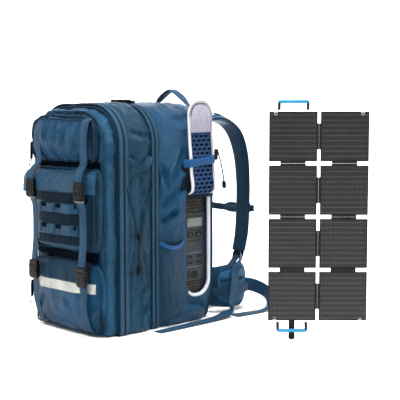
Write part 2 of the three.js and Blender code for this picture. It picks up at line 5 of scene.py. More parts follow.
import bmesh
import bpy
from mathutils import Matrix, Vector, noise
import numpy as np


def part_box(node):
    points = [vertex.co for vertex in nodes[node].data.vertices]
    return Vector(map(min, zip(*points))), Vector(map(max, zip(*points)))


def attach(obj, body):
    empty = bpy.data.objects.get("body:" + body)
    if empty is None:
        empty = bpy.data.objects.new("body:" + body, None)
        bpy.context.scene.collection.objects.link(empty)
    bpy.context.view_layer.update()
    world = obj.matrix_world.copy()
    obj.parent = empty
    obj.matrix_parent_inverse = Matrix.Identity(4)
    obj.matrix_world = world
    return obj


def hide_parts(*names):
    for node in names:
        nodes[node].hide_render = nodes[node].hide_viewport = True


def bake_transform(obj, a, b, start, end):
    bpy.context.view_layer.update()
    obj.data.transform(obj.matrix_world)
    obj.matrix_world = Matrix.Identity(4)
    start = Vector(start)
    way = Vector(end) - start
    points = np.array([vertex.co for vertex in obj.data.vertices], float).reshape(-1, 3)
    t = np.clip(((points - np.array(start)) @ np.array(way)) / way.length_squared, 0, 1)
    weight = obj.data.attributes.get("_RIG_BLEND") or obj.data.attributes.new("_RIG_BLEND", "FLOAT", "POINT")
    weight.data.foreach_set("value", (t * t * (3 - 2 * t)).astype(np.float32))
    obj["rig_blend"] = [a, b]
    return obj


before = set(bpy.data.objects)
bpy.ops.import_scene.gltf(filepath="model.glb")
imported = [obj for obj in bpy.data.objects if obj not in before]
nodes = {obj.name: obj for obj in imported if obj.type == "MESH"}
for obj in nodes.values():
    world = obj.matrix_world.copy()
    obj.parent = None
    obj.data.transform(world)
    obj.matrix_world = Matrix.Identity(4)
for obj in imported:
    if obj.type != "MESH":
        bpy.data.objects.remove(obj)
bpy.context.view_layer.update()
scene = bpy.context.scene
X, Y, Z = Vector((1, 0, 0)), Vector((0, 1, 0)), Vector((0, 0, 1))
SIDES = (("right", 1), ("left", -1))

# ---- driving dimensions, in metres ----
BODY_HALF = 0.158
BODY_TOP = 0.592
FRONT_Y, SPLIT_Y, BACK_Y = -0.176, -0.030, 0.176
BODY = dict(half=BODY_HALF, bottom=0.0, top=BODY_TOP, low=0.013, high=0.100)
FRONT = dict(half=0.147, bottom=0.001, top=0.580, low=0.014, high=0.094)
POCKET_Y = -0.2082
TOP_POCKET = dict(half=0.121, bottom=0.443, top=0.562, low=0.018, high=0.044)
MOLLE_POCKET = dict(half=0.123, bottom=0.224, top=0.422, low=0.022, high=0.016)
LOWER_POCKET = dict(half=0.139, bottom=0.006, top=0.191, low=0.024, high=0.046)
STRAP_X = 0.099
WEBBING = 0.025
WINDOW = dict(y0=0.060, y1=0.1500, bottom=0.074, top=0.342, radius=0.040)
COVER = dict(y=0.1135, half=0.0455, hinge=0.347, top=0.603)
PANEL_TURN = math.radians(43.4)
PANEL_AT = Vector((0.532, 0.159, 0.048))
TILE = dict(width=0.120, height=0.124, column_gap=0.0084, row_gap=0.0104)

# Blender seeds noise_vector from the clock, so without a fixed seed the folds differ from run to run.
FOLD_SEED = 1794868509
noise.seed_set(FOLD_SEED)


# ---------------------------------------------------------------- camera, light, floor
def make_camera():
    data = bpy.data.cameras.new("camera")
    data.lens = 87.9
    data.sensor_width = 36
    data.clip_end = 60
    camera = bpy.data.objects.new("camera", data)
    scene.collection.objects.link(camera)
    camera.location = (2.006, -1.802, 0.587)
    camera.rotation_euler = (math.radians(84.54), 0, math.radians(43.87))
    scene.camera = camera


def add_light(name, place, target, size, watts):
    data = bpy.data.lights.new(name, "AREA")
    data.size = size
    data.energy = watts
    light = bpy.data.objects.new(name, data)
    scene.collection.objects.link(light)
    light.location = place
    light.rotation_euler = (Vector(target) - Vector(place)).to_track_quat("-Z", "Y").to_euler()


# ---------------------------------------------------------------- shader helper
class Shader:
    """A Principled material whose nodes are added one by one."""

    def __init__(self, name, **sockets):
        self.material = bpy.data.materials.new(name)
        self.material.use_nodes = True
        self.tree = self.material.node_tree
        self.bsdf = self.tree.nodes["Principled BSDF"]
        for key, value in sockets.items():
            self.bsdf.inputs[key.replace("_", " ")].default_value = value

    def node(self, kind, inputs=None, **settings):
        made = self.tree.nodes.new(kind)
        for key, value in settings.items():
            setattr(made, key, value)
        for key, value in (inputs or {}).items():
            self.feed(made.inputs[key], value)
        return made

    def feed(self, socket, value):
        if isinstance(value, bpy.types.NodeSocket):
            self.tree.links.new(value, socket)
        else:
            socket.default_value = value

    def math(self, operation, a, b=0.0, clamp=False):
        return self.node("ShaderNodeMath", {0: a, 1: b}, operation=operation, use_clamp=clamp).outputs[0]

    def place(self):
        return self.node("ShaderNodeTexCoord").outputs["Object"]

    def axes(self, vector):
        return self.node("ShaderNodeSeparateXYZ", {0: vector}).outputs

    def noise(self, vector, scale, detail=3.0, roughness=0.5):
        inputs = {"Vector": vector, "Scale": scale, "Detail": detail, "Roughness": roughness}
        return self.node("ShaderNodeTexNoise", inputs).outputs["Fac"]

    def mix(self, factor, a, b):
        made = self.node("ShaderNodeMix", data_type="RGBA", clamp_factor=True)
        self.feed(made.inputs[0], factor)
        self.feed(made.inputs[6], a)
        self.feed(made.inputs[7], b)
        return made.outputs[2]

    def level(self, value, low, high):
        """0 below low, 1 above high, smooth between."""
        inputs = {"Value": value, "From Min": low, "From Max": high}
        return self.node("ShaderNodeMapRange", inputs, interpolation_type="SMOOTHSTEP").outputs[0]

    def color(self, value):
        self.feed(self.bsdf.inputs["Base Color"], value)

    def rough(self, value):
        self.feed(self.bsdf.inputs["Roughness"], value)

    def bump(self, height, distance, strength=1.0, after=None):
        inputs = {"Height": height, "Distance": distance, "Strength": strength}
        made = self.node("ShaderNodeBump", inputs)
        if after is not None:
            self.feed(made.inputs["Normal"], after)
        self.feed(self.bsdf.inputs["Normal"], made.outputs[0])
        return made.outputs[0]

    def weave(self, vector, pitch):
        """Crossing threads that show on a face of any direction."""
        x, y, z = (
            self.math("SINE", self.math("MULTIPLY", axis, 2 * math.pi / pitch))
                   for axis in self.axes(vector)
        )
        pairs = [self.math("MULTIPLY", a, b) for a, b in ((x, z), (y, z), (x, y))]
        return self.math("ADD", self.math("ADD", pairs[0], pairs[1]), pairs[2])

    def attribute(self, name):
        return self.node("ShaderNodeAttribute", attribute_name=name).outputs["Fac"]


def rgb(r, g, b):
    """A linear colour from sRGB values of 0 to 255."""
    return tuple(((v / 255 + 0.055) / 1.055) ** 2.4 if v > 10 else v / 3294 for v in (r, g, b)) + (1.0,)


# ---------------------------------------------------------------- materials
def cloth(name, dark, light, rough=0.42, pitch=0.0012, depth=0.00018, sheen=0.05, patches=7.0,
          tint=(0.26, 0.60, 0.95, 1), gloss=0.42):
    shader = Shader(name, Specular_IOR_Level=gloss, Specular_Tint=tint,
                    Sheen_Weight=sheen, Sheen_Roughness=0.45, Sheen_Tint=tint)
    place = shader.place()
    threads = shader.weave(place, pitch)
    patch = shader.noise(place, patches, 4.0, 0.6)
    tone = shader.math("ADD", shader.level(patch, 0.3, 0.7), shader.math("MULTIPLY", threads, 0.10))
    shader.color(shader.mix(tone, dark, light))
    grime = shader.noise(place, 38.0, 5.0, 0.65)
    shader.rough(shader.math("ADD", shader.math("MULTIPLY", grime, 0.22), rough - 0.11))
    first = shader.bump(threads, depth)
    shader.bump(shader.noise(place, 46.0, 6.0, 0.6), 0.0020, 0.5, after=first)
    return shader.material


def ribbed_webbing(name, dark, light, rough=0.62):
    """Woven strap: fine cross ribs in a herringbone down the middle, over lengthwise cords."""
    shader = Shader(name, Specular_IOR_Level=0.35, Specular_Tint=(0.35, 0.65, 0.95, 1), Sheen_Weight=0.04)
    along, across = shader.attribute("along"), shader.attribute("across")
    slope = shader.math("ABSOLUTE", across)
    ribs = shader.math("SINE", shader.math("MULTIPLY", shader.math("ADD", along, slope),
                                           2 * math.pi / 0.0019))
    cords = shader.math("SINE", shader.math("MULTIPLY", across, 2 * math.pi / 0.0030))
    height = shader.math("ADD", ribs, shader.math("MULTIPLY", cords, 0.7))
    worn = shader.noise(shader.place(), 30.0, 4.0, 0.6)
    tone = shader.math("ADD", shader.math("MULTIPLY", height, 0.16), shader.level(worn, 0.25, 0.75))
    shader.color(shader.mix(tone, dark, light))
    shader.rough(shader.math("ADD", shader.math("MULTIPLY", worn, 0.2), rough - 0.1))
    shader.bump(height, 0.00022)
    return shader.material


def mesh_cloth(name, dark, light):
    """Open spacer mesh: round holes in staggered rows."""
    shader = Shader(name, Specular_IOR_Level=0.25, Sheen_Weight=0.05)
    place = shader.place()
    inputs = {"Vector": place, "Scale": 330.0, "Randomness": 0.25}
    cell = shader.node("ShaderNodeTexVoronoi", inputs).outputs["Distance"]
    hole = shader.level(cell, 0.22, 0.5)
    shader.color(shader.mix(hole, dark, light))
    shader.rough(shader.math("ADD", shader.math("MULTIPLY", shader.noise(place, 40.0), 0.2), 0.72))
    shader.bump(hole, 0.0007)
    return shader.material


def moulded(name, dark, light, rough=0.42, grain=900.0, depth=0.00006):
    """Injection-moulded plastic: fine spark texture and faint scuffs."""
    shader = Shader(name, Specular_IOR_Level=0.16)
    place = shader.place()
    spark = shader.noise(place, grain, 2.0)
    scuff = shader.noise(place, 45.0, 6.0, 0.7)
    shader.color(shader.mix(shader.level(scuff, 0.35, 0.75), dark, light))
    shader.rough(shader.math("ADD", shader.math("MULTIPLY", scuff, 0.25), rough - 0.12))
    shader.bump(spark, depth)
    return shader.material


def panel_place(shader):
    """Object coordinates turned into the folding panel's own x, y, z."""
    made = shader.node("ShaderNodeMapping", {"Vector": shader.place()}, vector_type="TEXTURE")
    made.inputs["Location"].default_value = PANEL_AT
    made.inputs["Rotation"].default_value = (0, 0, PANEL_TURN)
    return made.outputs[0]


def solar_film(name):
    """Laminated cells: dark silicon, fine collector lines and wider gaps between cells."""
    shader = Shader(name, Specular_IOR_Level=0.30, Coat_Weight=0.08, Coat_Roughness=0.30)
    place = panel_place(shader)
    x, _, z = shader.axes(place)

    def stripes(value, offset, pitch, width):
        part = shader.math("FRACT",
                           shader.math("DIVIDE", shader.math("ADD", value, offset + 10 * pitch), pitch))
        away = shader.math("ABSOLUTE", shader.math("SUBTRACT", part, 0.5))
        return shader.math("SUBTRACT", 1.0, shader.level(away, width / pitch * 0.35, width / pitch * 0.65))

    collectors = stripes(z, 0.0, 0.0128, 0.0015)
    fingers = stripes(x, 0.0, 0.0107, 0.0026)
    hairs = stripes(z, 0.0, 0.0016, 0.0003)
    blotch = shader.noise(place, 26.0, 3.0)
    base = shader.mix(shader.level(blotch, 0.3, 0.7), rgb(16, 16, 19), rgb(22, 22, 25))
    lined = shader.mix(shader.math("MULTIPLY", hairs, 0.25), base, rgb(50, 50, 53))
    lined = shader.mix(shader.math("MULTIPLY", fingers, 0.85), lined, rgb(8, 8, 11))
    shader.color(shader.mix(shader.math("MULTIPLY", collectors, 0.34), lined, rgb(98, 98, 101)))
    shader.rough(shader.math("ADD", shader.math("MULTIPLY", blotch, 0.1), 0.36))
    shader.bump(shader.math("ADD", collectors, fingers), 0.00012)
    return shader.material


def reflective(name):
    shader = Shader(name, Metallic=0.25, Sheen_Weight=0.1)
    place = shader.place()
    beads = shader.noise(place, 1500.0, 1.0)
    crease = shader.noise(place, 22.0, 5.0, 0.6)
    shader.color(shader.mix(shader.level(crease, 0.3, 0.7), rgb(146, 146, 141), rgb(176, 176, 170)))
    shader.rough(shader.math("ADD", shader.math("MULTIPLY", crease, 0.2), 0.34))
    shader.bump(beads, 0.00005)
    return shader.material


MATERIALS = {
    "shell": cloth("shell_blue", rgb(4, 40, 65), rgb(8, 58, 90), rough=0.31),
    "shell_dark": cloth("shell_dark", rgb(8, 34, 51), rgb(13, 50, 71), rough=0.31),
    "gusset": cloth("gusset_blue", rgb(15, 47, 70), rgb(25, 66, 93), rough=0.31),
    "pouch": cloth("pouch_blue", rgb(5, 26, 43), rgb(9, 38, 58), rough=0.4),
    "tape": cloth("zip_tape", rgb(28, 54, 74), rgb(38, 68, 90), rough=0.7, pitch=0.0018, depth=0.00035),
    "piping": cloth("piping_navy", rgb(8, 22, 36), rgb(12, 30, 46), rough=0.6),
    "white_tape": cloth("white_tape", rgb(210, 212, 218), rgb(226, 228, 232), rough=0.6, tint=(1, 1, 1, 1)),
    "lining": cloth("lining_silver", rgb(154, 151, 168), rgb(190, 187, 203), rough=0.34, tint=(1, 1, 1, 1)),
    "molle": cloth("molle_navy", rgb(26, 46, 84), rgb(36, 60, 100), rough=0.7, pitch=0.0016),
    # Also the painted shadow in the recesses above and below the middle pocket.
    "slot": cloth("slot_dark", rgb(2, 4, 12), rgb(4, 7, 16), rough=0.85, sheen=0.0, gloss=0.05),
    # Also the painted shadow of the lid on the middle pocket.
    "deep": cloth("deep_navy", rgb(4, 14, 24), rgb(7, 22, 34), rough=0.7, sheen=0.0, gloss=0.15),
    "slate": cloth("slate_blue", rgb(5, 24, 38), rgb(9, 35, 52), rough=0.5, gloss=0.3),
    # Lighter blue for the hip pockets: painted light on faces turned away from the lamps.
    "wing": cloth("wing_blue", rgb(20, 62, 90), rgb(32, 82, 114), rough=0.5),
    "bay_dark": cloth("bay_lining", rgb(12, 12, 15), rgb(20, 19, 22), rough=0.75, sheen=0.05, gloss=0.2),
    "webbing": ribbed_webbing("webbing_blue", rgb(14, 42, 65), rgb(24, 60, 87)),
    "webbing_bright": ribbed_webbing("webbing_bright", rgb(14, 62, 112), rgb(26, 84, 136)),
    "webbing_black": ribbed_webbing("webbing_black", rgb(20, 21, 24), rgb(32, 33, 36)),
    "mesh": mesh_cloth("spacer_mesh", rgb(8, 20, 32), rgb(18, 40, 58)),
    "pad": cloth("pad_navy", rgb(14, 40, 60), rgb(22, 54, 78), rough=0.7, pitch=0.0016, depth=0.0003),
    "plastic": moulded("buckle_black", rgb(3, 3, 3), rgb(7, 6, 5), rough=0.33, depth=0.00002),
    "case": moulded("case_grey", rgb(50, 53, 59), rgb(60, 63, 69), rough=0.5, grain=1400.0),
    "grille": moulded("grille_black", rgb(18, 18, 20), rgb(30, 30, 32), rough=0.5),
    "vent": moulded("vent_grey", rgb(62, 60, 58), rgb(80, 78, 75), rough=0.5),
    "screen": moulded("screen_grey", rgb(112, 118, 116), rgb(124, 130, 128), rough=0.22, depth=0.00001),
    "port": moulded("port_dark", rgb(3, 3, 4), rgb(8, 8, 9), rough=0.45),
    "metal": moulded("bright_metal", rgb(190, 194, 198), rgb(214, 216, 218), rough=0.3),
    "bar_metal": moulded("bar_metal", rgb(92, 98, 104), rgb(124, 130, 134), rough=0.35),
    "solar_back": cloth("tile_cloth", rgb(14, 14, 16), rgb(22, 22, 24), rough=0.6, pitch=0.0014, sheen=0.02,
                        tint=(1, 1, 1, 1), gloss=0.2),
    "solar_film": solar_film("solar_film"),
    "grip": moulded("grip_blue", rgb(40, 122, 166), rgb(58, 146, 188), rough=0.5, grain=500.0,
                    depth=0.0001),
    "cord": moulded("cord_black", rgb(14, 14, 14), rgb(30, 28, 26), rough=0.6, grain=700.0, depth=0.0002),
    "reflective": reflective("reflective_tape"),
}


# ---------------------------------------------------------------- mesh helpers
def make_object(name, points, faces, material, smooth=True):
    mesh = bpy.data.meshes.new(name)
    mesh.from_pydata([tuple(p) for p in points], [], faces)
    made = bmesh.new()
    made.from_mesh(mesh)
    bmesh.ops.recalc_face_normals(made, faces=made.faces)
    made.to_mesh(mesh)
    made.free()
    mesh.polygons.foreach_set("use_smooth", [smooth] * len(mesh.polygons))
    if smooth:
        mesh.set_sharp_from_angle(angle=math.radians(52))
    mesh.materials.append(MATERIALS[material])
    obj = bpy.data.objects.new(name, mesh)
    scene.collection.objects.link(obj)
    return obj


def ring_faces(rings, count, closed=True, first=0):
    """Quads between consecutive rings of count points."""
    reach = count if closed else count - 1
    return [
        (first + i * count + j, first + i * count + (j + 1) % count,
         first + (i + 1) * count + (j + 1) % count, first + (i + 1) * count + j)
        for i in range(rings - 1)
        for j in range(reach)
    ]


def bake(obj):
    """Apply the modifiers."""
    depsgraph = bpy.context.evaluated_depsgraph_get()
    mesh = bpy.data.meshes.new_from_object(obj.evaluated_get(depsgraph))
    obj.modifiers.clear()
    obj.data = mesh
    return obj


def smooth_path(points, count):
    """count points, evenly spaced by length, on a Catmull-Rom curve through the given ones."""
    given = [Vector(p) for p in points]
    padded = [2 * given[0] - given[1], *given, 2 * given[-1] - given[-2]]
    dense = []
    for a, b, c, d in zip(padded, padded[1:], padded[2:], padded[3:]):
        for step in range(16):
            t = step / 16
            dense.append(
                0.5 * (2 * b + (c - a) * t + (2 * a - 5 * b + 4 * c - d) * t * t
                       + (3 * b - a - 3 * c + d) * t**3)
            )
    dense.append(given[-1])
    return spread(dense, count)


def spread(points, count):
    """The same line as count evenly spaced points."""
    lengths = [0.0]
    for a, b in zip(points, points[1:]):
        lengths.append(lengths[-1] + (b - a).length)
    result, k = [], 0
    for i in range(count):
        want = lengths[-1] * i / (count - 1)
        while k < len(points) - 2 and lengths[k + 1] < want:
            k += 1
        span = lengths[k + 1] - lengths[k]
        result.append(points[k].lerp(points[k + 1], (want - lengths[k]) / span if span else 0))
    return result


def spread_vectors(vectors, count):
    """Directions at evenly spaced places between the given ones."""
    given = [Vector(v) for v in vectors]
    result = []
    for i in range(count):
        at = (len(given) - 1) * i / (count - 1)
        k = min(int(at), len(given) - 2)
        result.append(given[k].lerp(given[k + 1], at - k).normalized())
    return result


def frames_along(path, sides):
    """(place, side, up, distance) at each point; side is across the path, up is the face's normal."""
    result, distance = [], 0.0
    for i, place in enumerate(path):
        tangent = (path[min(i + 1, len(path) - 1)] - path[max(i - 1, 0)]).normalized()
        side = sides[i] if isinstance(sides, list) else Vector(sides)
        side = (side - tangent * side.dot(tangent)).normalized()
        if i:
            distance += (place - path[i - 1]).length
        result.append((place, side, side.cross(tangent).normalized(), distance))
    return result


def sweep(name, path, sides, profile, material, smooth=True, widths=None):
    """A closed profile of (across, up) points carried along a path."""
    count = len(profile)
    points, along, across = [], [], []
    for i, (place, side, up, distance) in enumerate(frames_along(path, sides)):
        grow = widths[i] if widths else 1.0
        for a, b in profile:
            points.append(place + side * (a * grow) + up * b)
            along.append(distance)
            across.append(a * grow)
    faces = ring_faces(len(path), count)
    faces.append(tuple(range(count))[::-1])
    faces.append(tuple((len(path) - 1) * count + j for j in range(count)))
    obj = make_object(name, points, faces, material, smooth)
    for key, values in (("along", along), ("across", across)):
        obj.data.attributes.new(key, "FLOAT", "POINT").data.foreach_set("value", values)
    return obj


def band_profile(width, thick, edge=None, rise=0.0):
    """A flat strap's section with thinner, rounded edges; rise crowns its face."""
    edge = min(thick, width / 4) if edge is None else edge
    w, t = width / 2, thick / 2
    top = [(-w, 0), (-w + edge * 0.4, t * 0.8), (-w + edge, t), (-w / 2, t + rise * 0.8), (0, t + rise),
           (w / 2, t + rise * 0.8), (w - edge, t), (w - edge * 0.4, t * 0.8), (w, 0)]
    low = [(w - edge * 0.4, -t * 0.8), (w - edge, -t), (0, -t), (-w + edge, -t),
           (-w + edge * 0.4, -t * 0.8)]
    return top + low


def band(name, points, sides, width, thick, material, count=40, rise=0.0, widths=None):
    path = smooth_path(points, count)
    if isinstance(sides, list):
        sides = spread_vectors(sides, count)
    return sweep(name, path, sides, band_profile(width, thick, rise=rise), material, widths=widths)


def circle(radius, count=8):
    return [(radius * math.cos(2 * math.pi * i / count), radius * math.sin(2 * math.pi * i / count))
            for i in range(count)]


def tube(name, path, radius, material, side=None, count=8):
    """A round line; the start side only has to be off the path's direction."""
    start = (path[1] - path[0]).normalized()
    side = Vector(side) if side is not None else start.orthogonal()
    sides = []
    for i in range(len(path)):
        tangent = (path[min(i + 1, len(path) - 1)] - path[max(i - 1, 0)]).normalized()
        side = (side - tangent * side.dot(tangent)).normalized()
        sides.append(side)
    return sweep(name, path, sides, circle(radius, count), material)


def copies(name, template, places, material, smooth=False):
    """Many small copies of a (points, faces) template; a place is (origin, x axis, y axis, z axis)."""
    points, faces = [], []
    for origin, ax, ay, az in places:
        first = len(points)
        points += [origin + ax * p[0] + ay * p[1] + az * p[2] for p in template[0]]
        faces += [tuple(first + i for i in face) for face in template[1]]
    return make_object(name, points, faces, material, smooth)


def pellet(length, width, height):
    """A small bead, longer along y: six-sided and pinched at its ends."""
    points, faces = [], []
    for y, grow in ((-0.5, 0.45), (-0.3, 1.0), (0.3, 1.0), (0.5, 0.45)):
        for i in range(6):
            angle = math.pi * i / 3
            points.append((width / 2 * grow * math.cos(angle), y * length,
                           height / 2 * grow * math.sin(angle)))
    faces = ring_faces(4, 6) + [tuple(range(6))[::-1], tuple(range(18, 24))]
    return points, faces


def stitches(name, path, sides, material="webbing", offset=0.0, lift=0.0008, pitch=0.0045):
    """A line of thread stitches beside a path."""
    frames = frames_along(path, sides)
    length = frames[-1][3]
    places, k = [], 0
    steps = int(length / pitch)
    for n in range(steps):
        want = (n + 0.5) * pitch
        while k < len(frames) - 2 and frames[k + 1][3] < want:
            k += 1
        a, b = frames[k], frames[k + 1]
        share = (want - a[3]) / max(b[3] - a[3], 1e-9)
        tangent = (b[0] - a[0]).normalized()
        place = a[0].lerp(b[0], share) + a[1] * offset + a[2] * lift
        places.append((place, a[1], tangent, a[2]))
    return copies(name, pellet(pitch * 0.66, 0.0008, 0.0007), places, material)


def plate(name, loops, thick, bevel, matrix, material, resolution=3):
    """A flat part cut from 2D outlines, the first one outside and the rest holes, with rounded edges."""
    curve = bpy.data.curves.new(name, "CURVE")
    curve.dimensions = "2D"
    curve.fill_mode = "BOTH"
    curve.extrude = thick / 2 - bevel
    curve.bevel_depth = bevel
    curve.bevel_resolution = resolution
    for loop in loops:
        spline = curve.splines.new("POLY")
        spline.points.add(len(loop) - 1)
        for point, (u, v) in zip(spline.points, loop):
            point.co = (u, v, 0, 1)
        spline.use_cyclic_u = True
    shape = bpy.data.objects.new(name + "_outline", curve)
    scene.collection.objects.link(shape)
    depsgraph = bpy.context.evaluated_depsgraph_get()
    mesh = bpy.data.meshes.new_from_object(shape.evaluated_get(depsgraph))
    bpy.data.objects.remove(shape)
    mesh.transform(matrix)
    mesh.materials.clear()
    mesh.materials.append(MATERIALS[material])
    made = bmesh.new()
    made.from_mesh(mesh)
    bmesh.ops.remove_doubles(made, verts=made.verts, dist=1e-5)
    bmesh.ops.recalc_face_normals(made, faces=made.faces)
    made.to_mesh(mesh)
    made.free()
    mesh.polygons.foreach_set("use_smooth", [False] * len(mesh.polygons))
    obj = bpy.data.objects.new(name, mesh)
    scene.collection.objects.link(obj)
    return obj


def rounded_loop(half_u, half_v, radius, centre=(0, 0), steps=5):
    points = []
    for cu, cv, start in ((1, -1, 270), (1, 1, 0), (-1, 1, 90), (-1, -1, 180)):
        for i in range(steps + 1):
            angle = math.radians(start + 90 * i / steps)
            points.append((centre[0] + cu * (half_u - radius) + radius * math.cos(angle),
                           centre[1] + cv * (half_v - radius) + radius * math.sin(angle)))
    return points


def mm(loop):
    """A loop of (u, v) points given in millimetres, in metres."""
    return [(u * 0.001, v * 0.001) for u, v in loop]


def put(piece, body, stands_for=None):
    """Say what a piece replaces, which finish it takes and which body it moves with."""
    if stands_for:
        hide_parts(stands_for)
    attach(piece, body)
    return piece


def facing(origin, right, up):
    """Matrix from a plate's (u, v, thickness) to the frame."""
    right, up = Vector(right).normalized(), Vector(up).normalized()
    out = right.cross(up)
    matrix = Matrix((right, up, out)).transposed().to_4x4()
    matrix.translation = Vector(origin)
    return matrix


def closed_sheet(layers, row):
    """Points and faces of a thin sheet from its front and back grids."""
    count = len(layers[0])
    rows = count // row - 1
    faces = []
    for j in range(rows):
        for i in range(row - 1):
            a = j * row + i
            faces.append((a, a + 1, a + 1 + row, a + row))
            faces.append((count + a + row, count + a + 1 + row, count + a + 1, count + a))
    rim = (list(range(row)) + [j * row + row - 1 for j in range(1, rows + 1)]
           + [rows * row + i for i in range(row - 2, -1, -1)] + [j * row for j in range(rows - 1, 0, -1)])
    for a, b in zip(rim, rim[1:] + rim[:1]):
        faces.append((a, count + a, count + b, b))
    return layers[0] + layers[1], faces


def join(name, *objects):
    """One mesh from several, keeping the materials."""
    points, faces, slots, mats = [], [], [], []
    for obj in objects:
        first = len(points)
        points += [v.co.copy() for v in obj.data.vertices]
        for material in obj.data.materials:
            if material not in mats:
                mats.append(material)
        for polygon in obj.data.polygons:
            faces.append(tuple(first + i for i in polygon.vertices))
            slots.append(mats.index(obj.data.materials[polygon.material_index]))
    smooth = [p.use_smooth for obj in objects for p in obj.data.polygons]
    keys = {a.name for obj in objects for a in obj.data.attributes if a.name in ("along", "across")}
    values = {key: [] for key in keys}
    for obj in objects:
        for key in keys:
            found = obj.data.attributes.get(key)
            values[key] += [d.value for d in found.data] if found else [0.0] * len(obj.data.vertices)
    for obj in objects:
        bpy.data.objects.remove(obj)
    mesh = bpy.data.meshes.new(name)
    mesh.from_pydata(points, [], faces)
    for material in mats:
        mesh.materials.append(material)
    mesh.polygons.foreach_set("material_index", slots)
    mesh.polygons.foreach_set("use_smooth", smooth)
    for key in sorted(keys):
        mesh.attributes.new(key, "FLOAT", "POINT").data.foreach_set("value", values[key])
    obj = bpy.data.objects.new(name, mesh)
    scene.collection.objects.link(obj)
    return obj


# ---------------------------------------------------------------- soft shapes
def outline(half, bottom, top, low, high, step=0.008, inset=0.0):
    """(x, z) points round a rounded rectangle, from the middle of the base towards +X, up and over."""
    half, bottom, top = half - inset, bottom + inset, top - inset
    low, high = max(low - inset, 0.002), max(high - inset, 0.002)
    points = []

    def line(x0, z0, x1, z1):
        count = max(round(math.hypot(x1 - x0, z1 - z0) / step), 1)
        points.extend((x0 + (x1 - x0) * i / count, z0 + (z1 - z0) * i / count) for i in range(count))

    def arc(cx, cz, radius, start):
        count = max(round(radius * math.pi / 2 / step), 5)
        for i in range(count):
            angle = math.radians(start + 90 * i / count)
            points.append((cx + radius * math.cos(angle), cz + radius * math.sin(angle)))

    line(0, bottom, half - low, bottom)
    arc(half - low, bottom + low, low, 270)
    line(half, bottom + low, half, top - high)
    arc(half - high, top - high, high, 0)
    line(half - high, top, -half + high, top)
    arc(-half + high, top - high, high, 90)
    line(-half, top - high, -half, bottom + low)
    arc(-half + low, bottom + low, low, 180)
    line(-half + low, bottom, 0, bottom)
    return points


def even_ring(points, count):
    closed = [Vector((x, 0, z)) for x, z in points] + [Vector((points[0][0], 0, points[0][1]))]
    return spread(closed, count + 1)[:-1]


def inset_at(spec, x, z):
    """How far (x, z) is inside a rounded rectangle's edge; negative outside."""
    middle = (spec["top"] + spec["bottom"]) / 2
    radius = spec["high"] if z > middle else spec["low"]
    dx = abs(x) - (spec["half"] - radius)
    dz = abs(z - middle) - ((spec["top"] - spec["bottom"]) / 2 - radius)
    outside = math.hypot(max(dx, 0), max(dz, 0)) + min(max(dx, dz), 0)
    return radius - outside


def pillow(name, spec, levels, crown, material, count=150, cap_rings=14, bend=None, flat_back=True):
    """A stuffed pocket: rings of (y, inset) from the back rim to the front edge, then a crowned front."""
    points = []
    rings = 0
    for y, inset in levels:
        for p in even_ring(outline(**spec, inset=inset), count):
            points.append(Vector((p.x, y, p.z)))
        rings += 1
    last_y, last_inset = levels[-1]
    rim = even_ring(outline(**spec, inset=last_inset), count)
    middle = Vector((0, 0, (spec["top"] + spec["bottom"]) / 2))
    forward = 1 if last_y > levels[0][0] else -1
    for k in range(1, cap_rings):
        share = k / cap_rings
        for p in rim:
            q = p.lerp(middle, share)
            points.append(Vector((q.x, last_y + forward * crown * (1 - (1 - share) ** 2), q.z)))
        rings += 1
    if bend:
        points = [bend(p) for p in points]
    faces = ring_faces(rings, count)
    points.append(sum(points[-count:], Vector()) / count)
    last = (rings - 1) * count
    faces += [(last + j, last + (j + 1) % count, len(points) - 1) for j in range(count)]
    if flat_back:
        points.append(Vector((middle.x, levels[0][0], middle.z)))
        faces += [((j + 1) % count, j, len(points) - 1) for j in range(count)]
    return make_object(name, points, faces, material)


def wrinkle(obj, depth, stretch, seed, mask=None, sharp=2.0, fine=0.3):
    """Push the cloth along its normals in soft folds; mask(place) says how much."""
    offset = Vector((seed * 7.13, seed * 3.31, seed * 5.77))
    moved = []
    for vertex in obj.data.vertices:
        share = mask(vertex.co) if mask else 1.0
        if share <= 0:
            moved.append(vertex.co.copy())
            continue
        place = Vector(a * b for a, b in zip(vertex.co, stretch)) + offset
        place += noise.noise_vector(place * 0.45) * 0.9
        fold = 1 - min(abs(noise.noise(place)) * 2.4, 1)
        small = 1 - min(abs(noise.noise(place * 2.6)) * 2.2, 1)
        swell = noise.noise(place * 0.37 + offset)
        amount = depth * (fold**sharp - 0.35 + 0.7 * swell + fine * (small**2 - 0.3))
        moved.append(vertex.co + vertex.normal * amount * share)
    for vertex, place in zip(obj.data.vertices, moved):
        vertex.co = place
    obj.data.update()
    return obj


def crease(obj, lines, width, depth, outward, flat):
    """Press folds along lines into one face; flat(place) gives a point's two coordinates on that face."""
    for vertex in obj.data.vertices:
        if vertex.normal.dot(outward) < 0.5:
            continue
        u, v = flat(vertex.co)
        total = 0.0
        for (u0, v0), (u1, v1) in lines:
            du, dv = u1 - u0, v1 - v0
            length = math.hypot(du, dv)
            along = ((u - u0) * du + (v - v0) * dv) / length
            if not -width < along < length + width:
                continue
            off = ((u - u0) * dv - (v - v0) * du) / length
            ends = min(1, (along + width) / (0.35 * length), (length + width - along) / (0.35 * length))
            valley = math.exp(-((off / width) ** 2))
            ridge = math.exp(-(((off - 1.7 * width) / (1.1 * width)) ** 2))
            total += max(ends, 0) * (0.9 * ridge - valley)
        vertex.co += Vector(outward) * (depth * max(min(total, 1.2), -1.2))
    obj.data.update()
    return obj


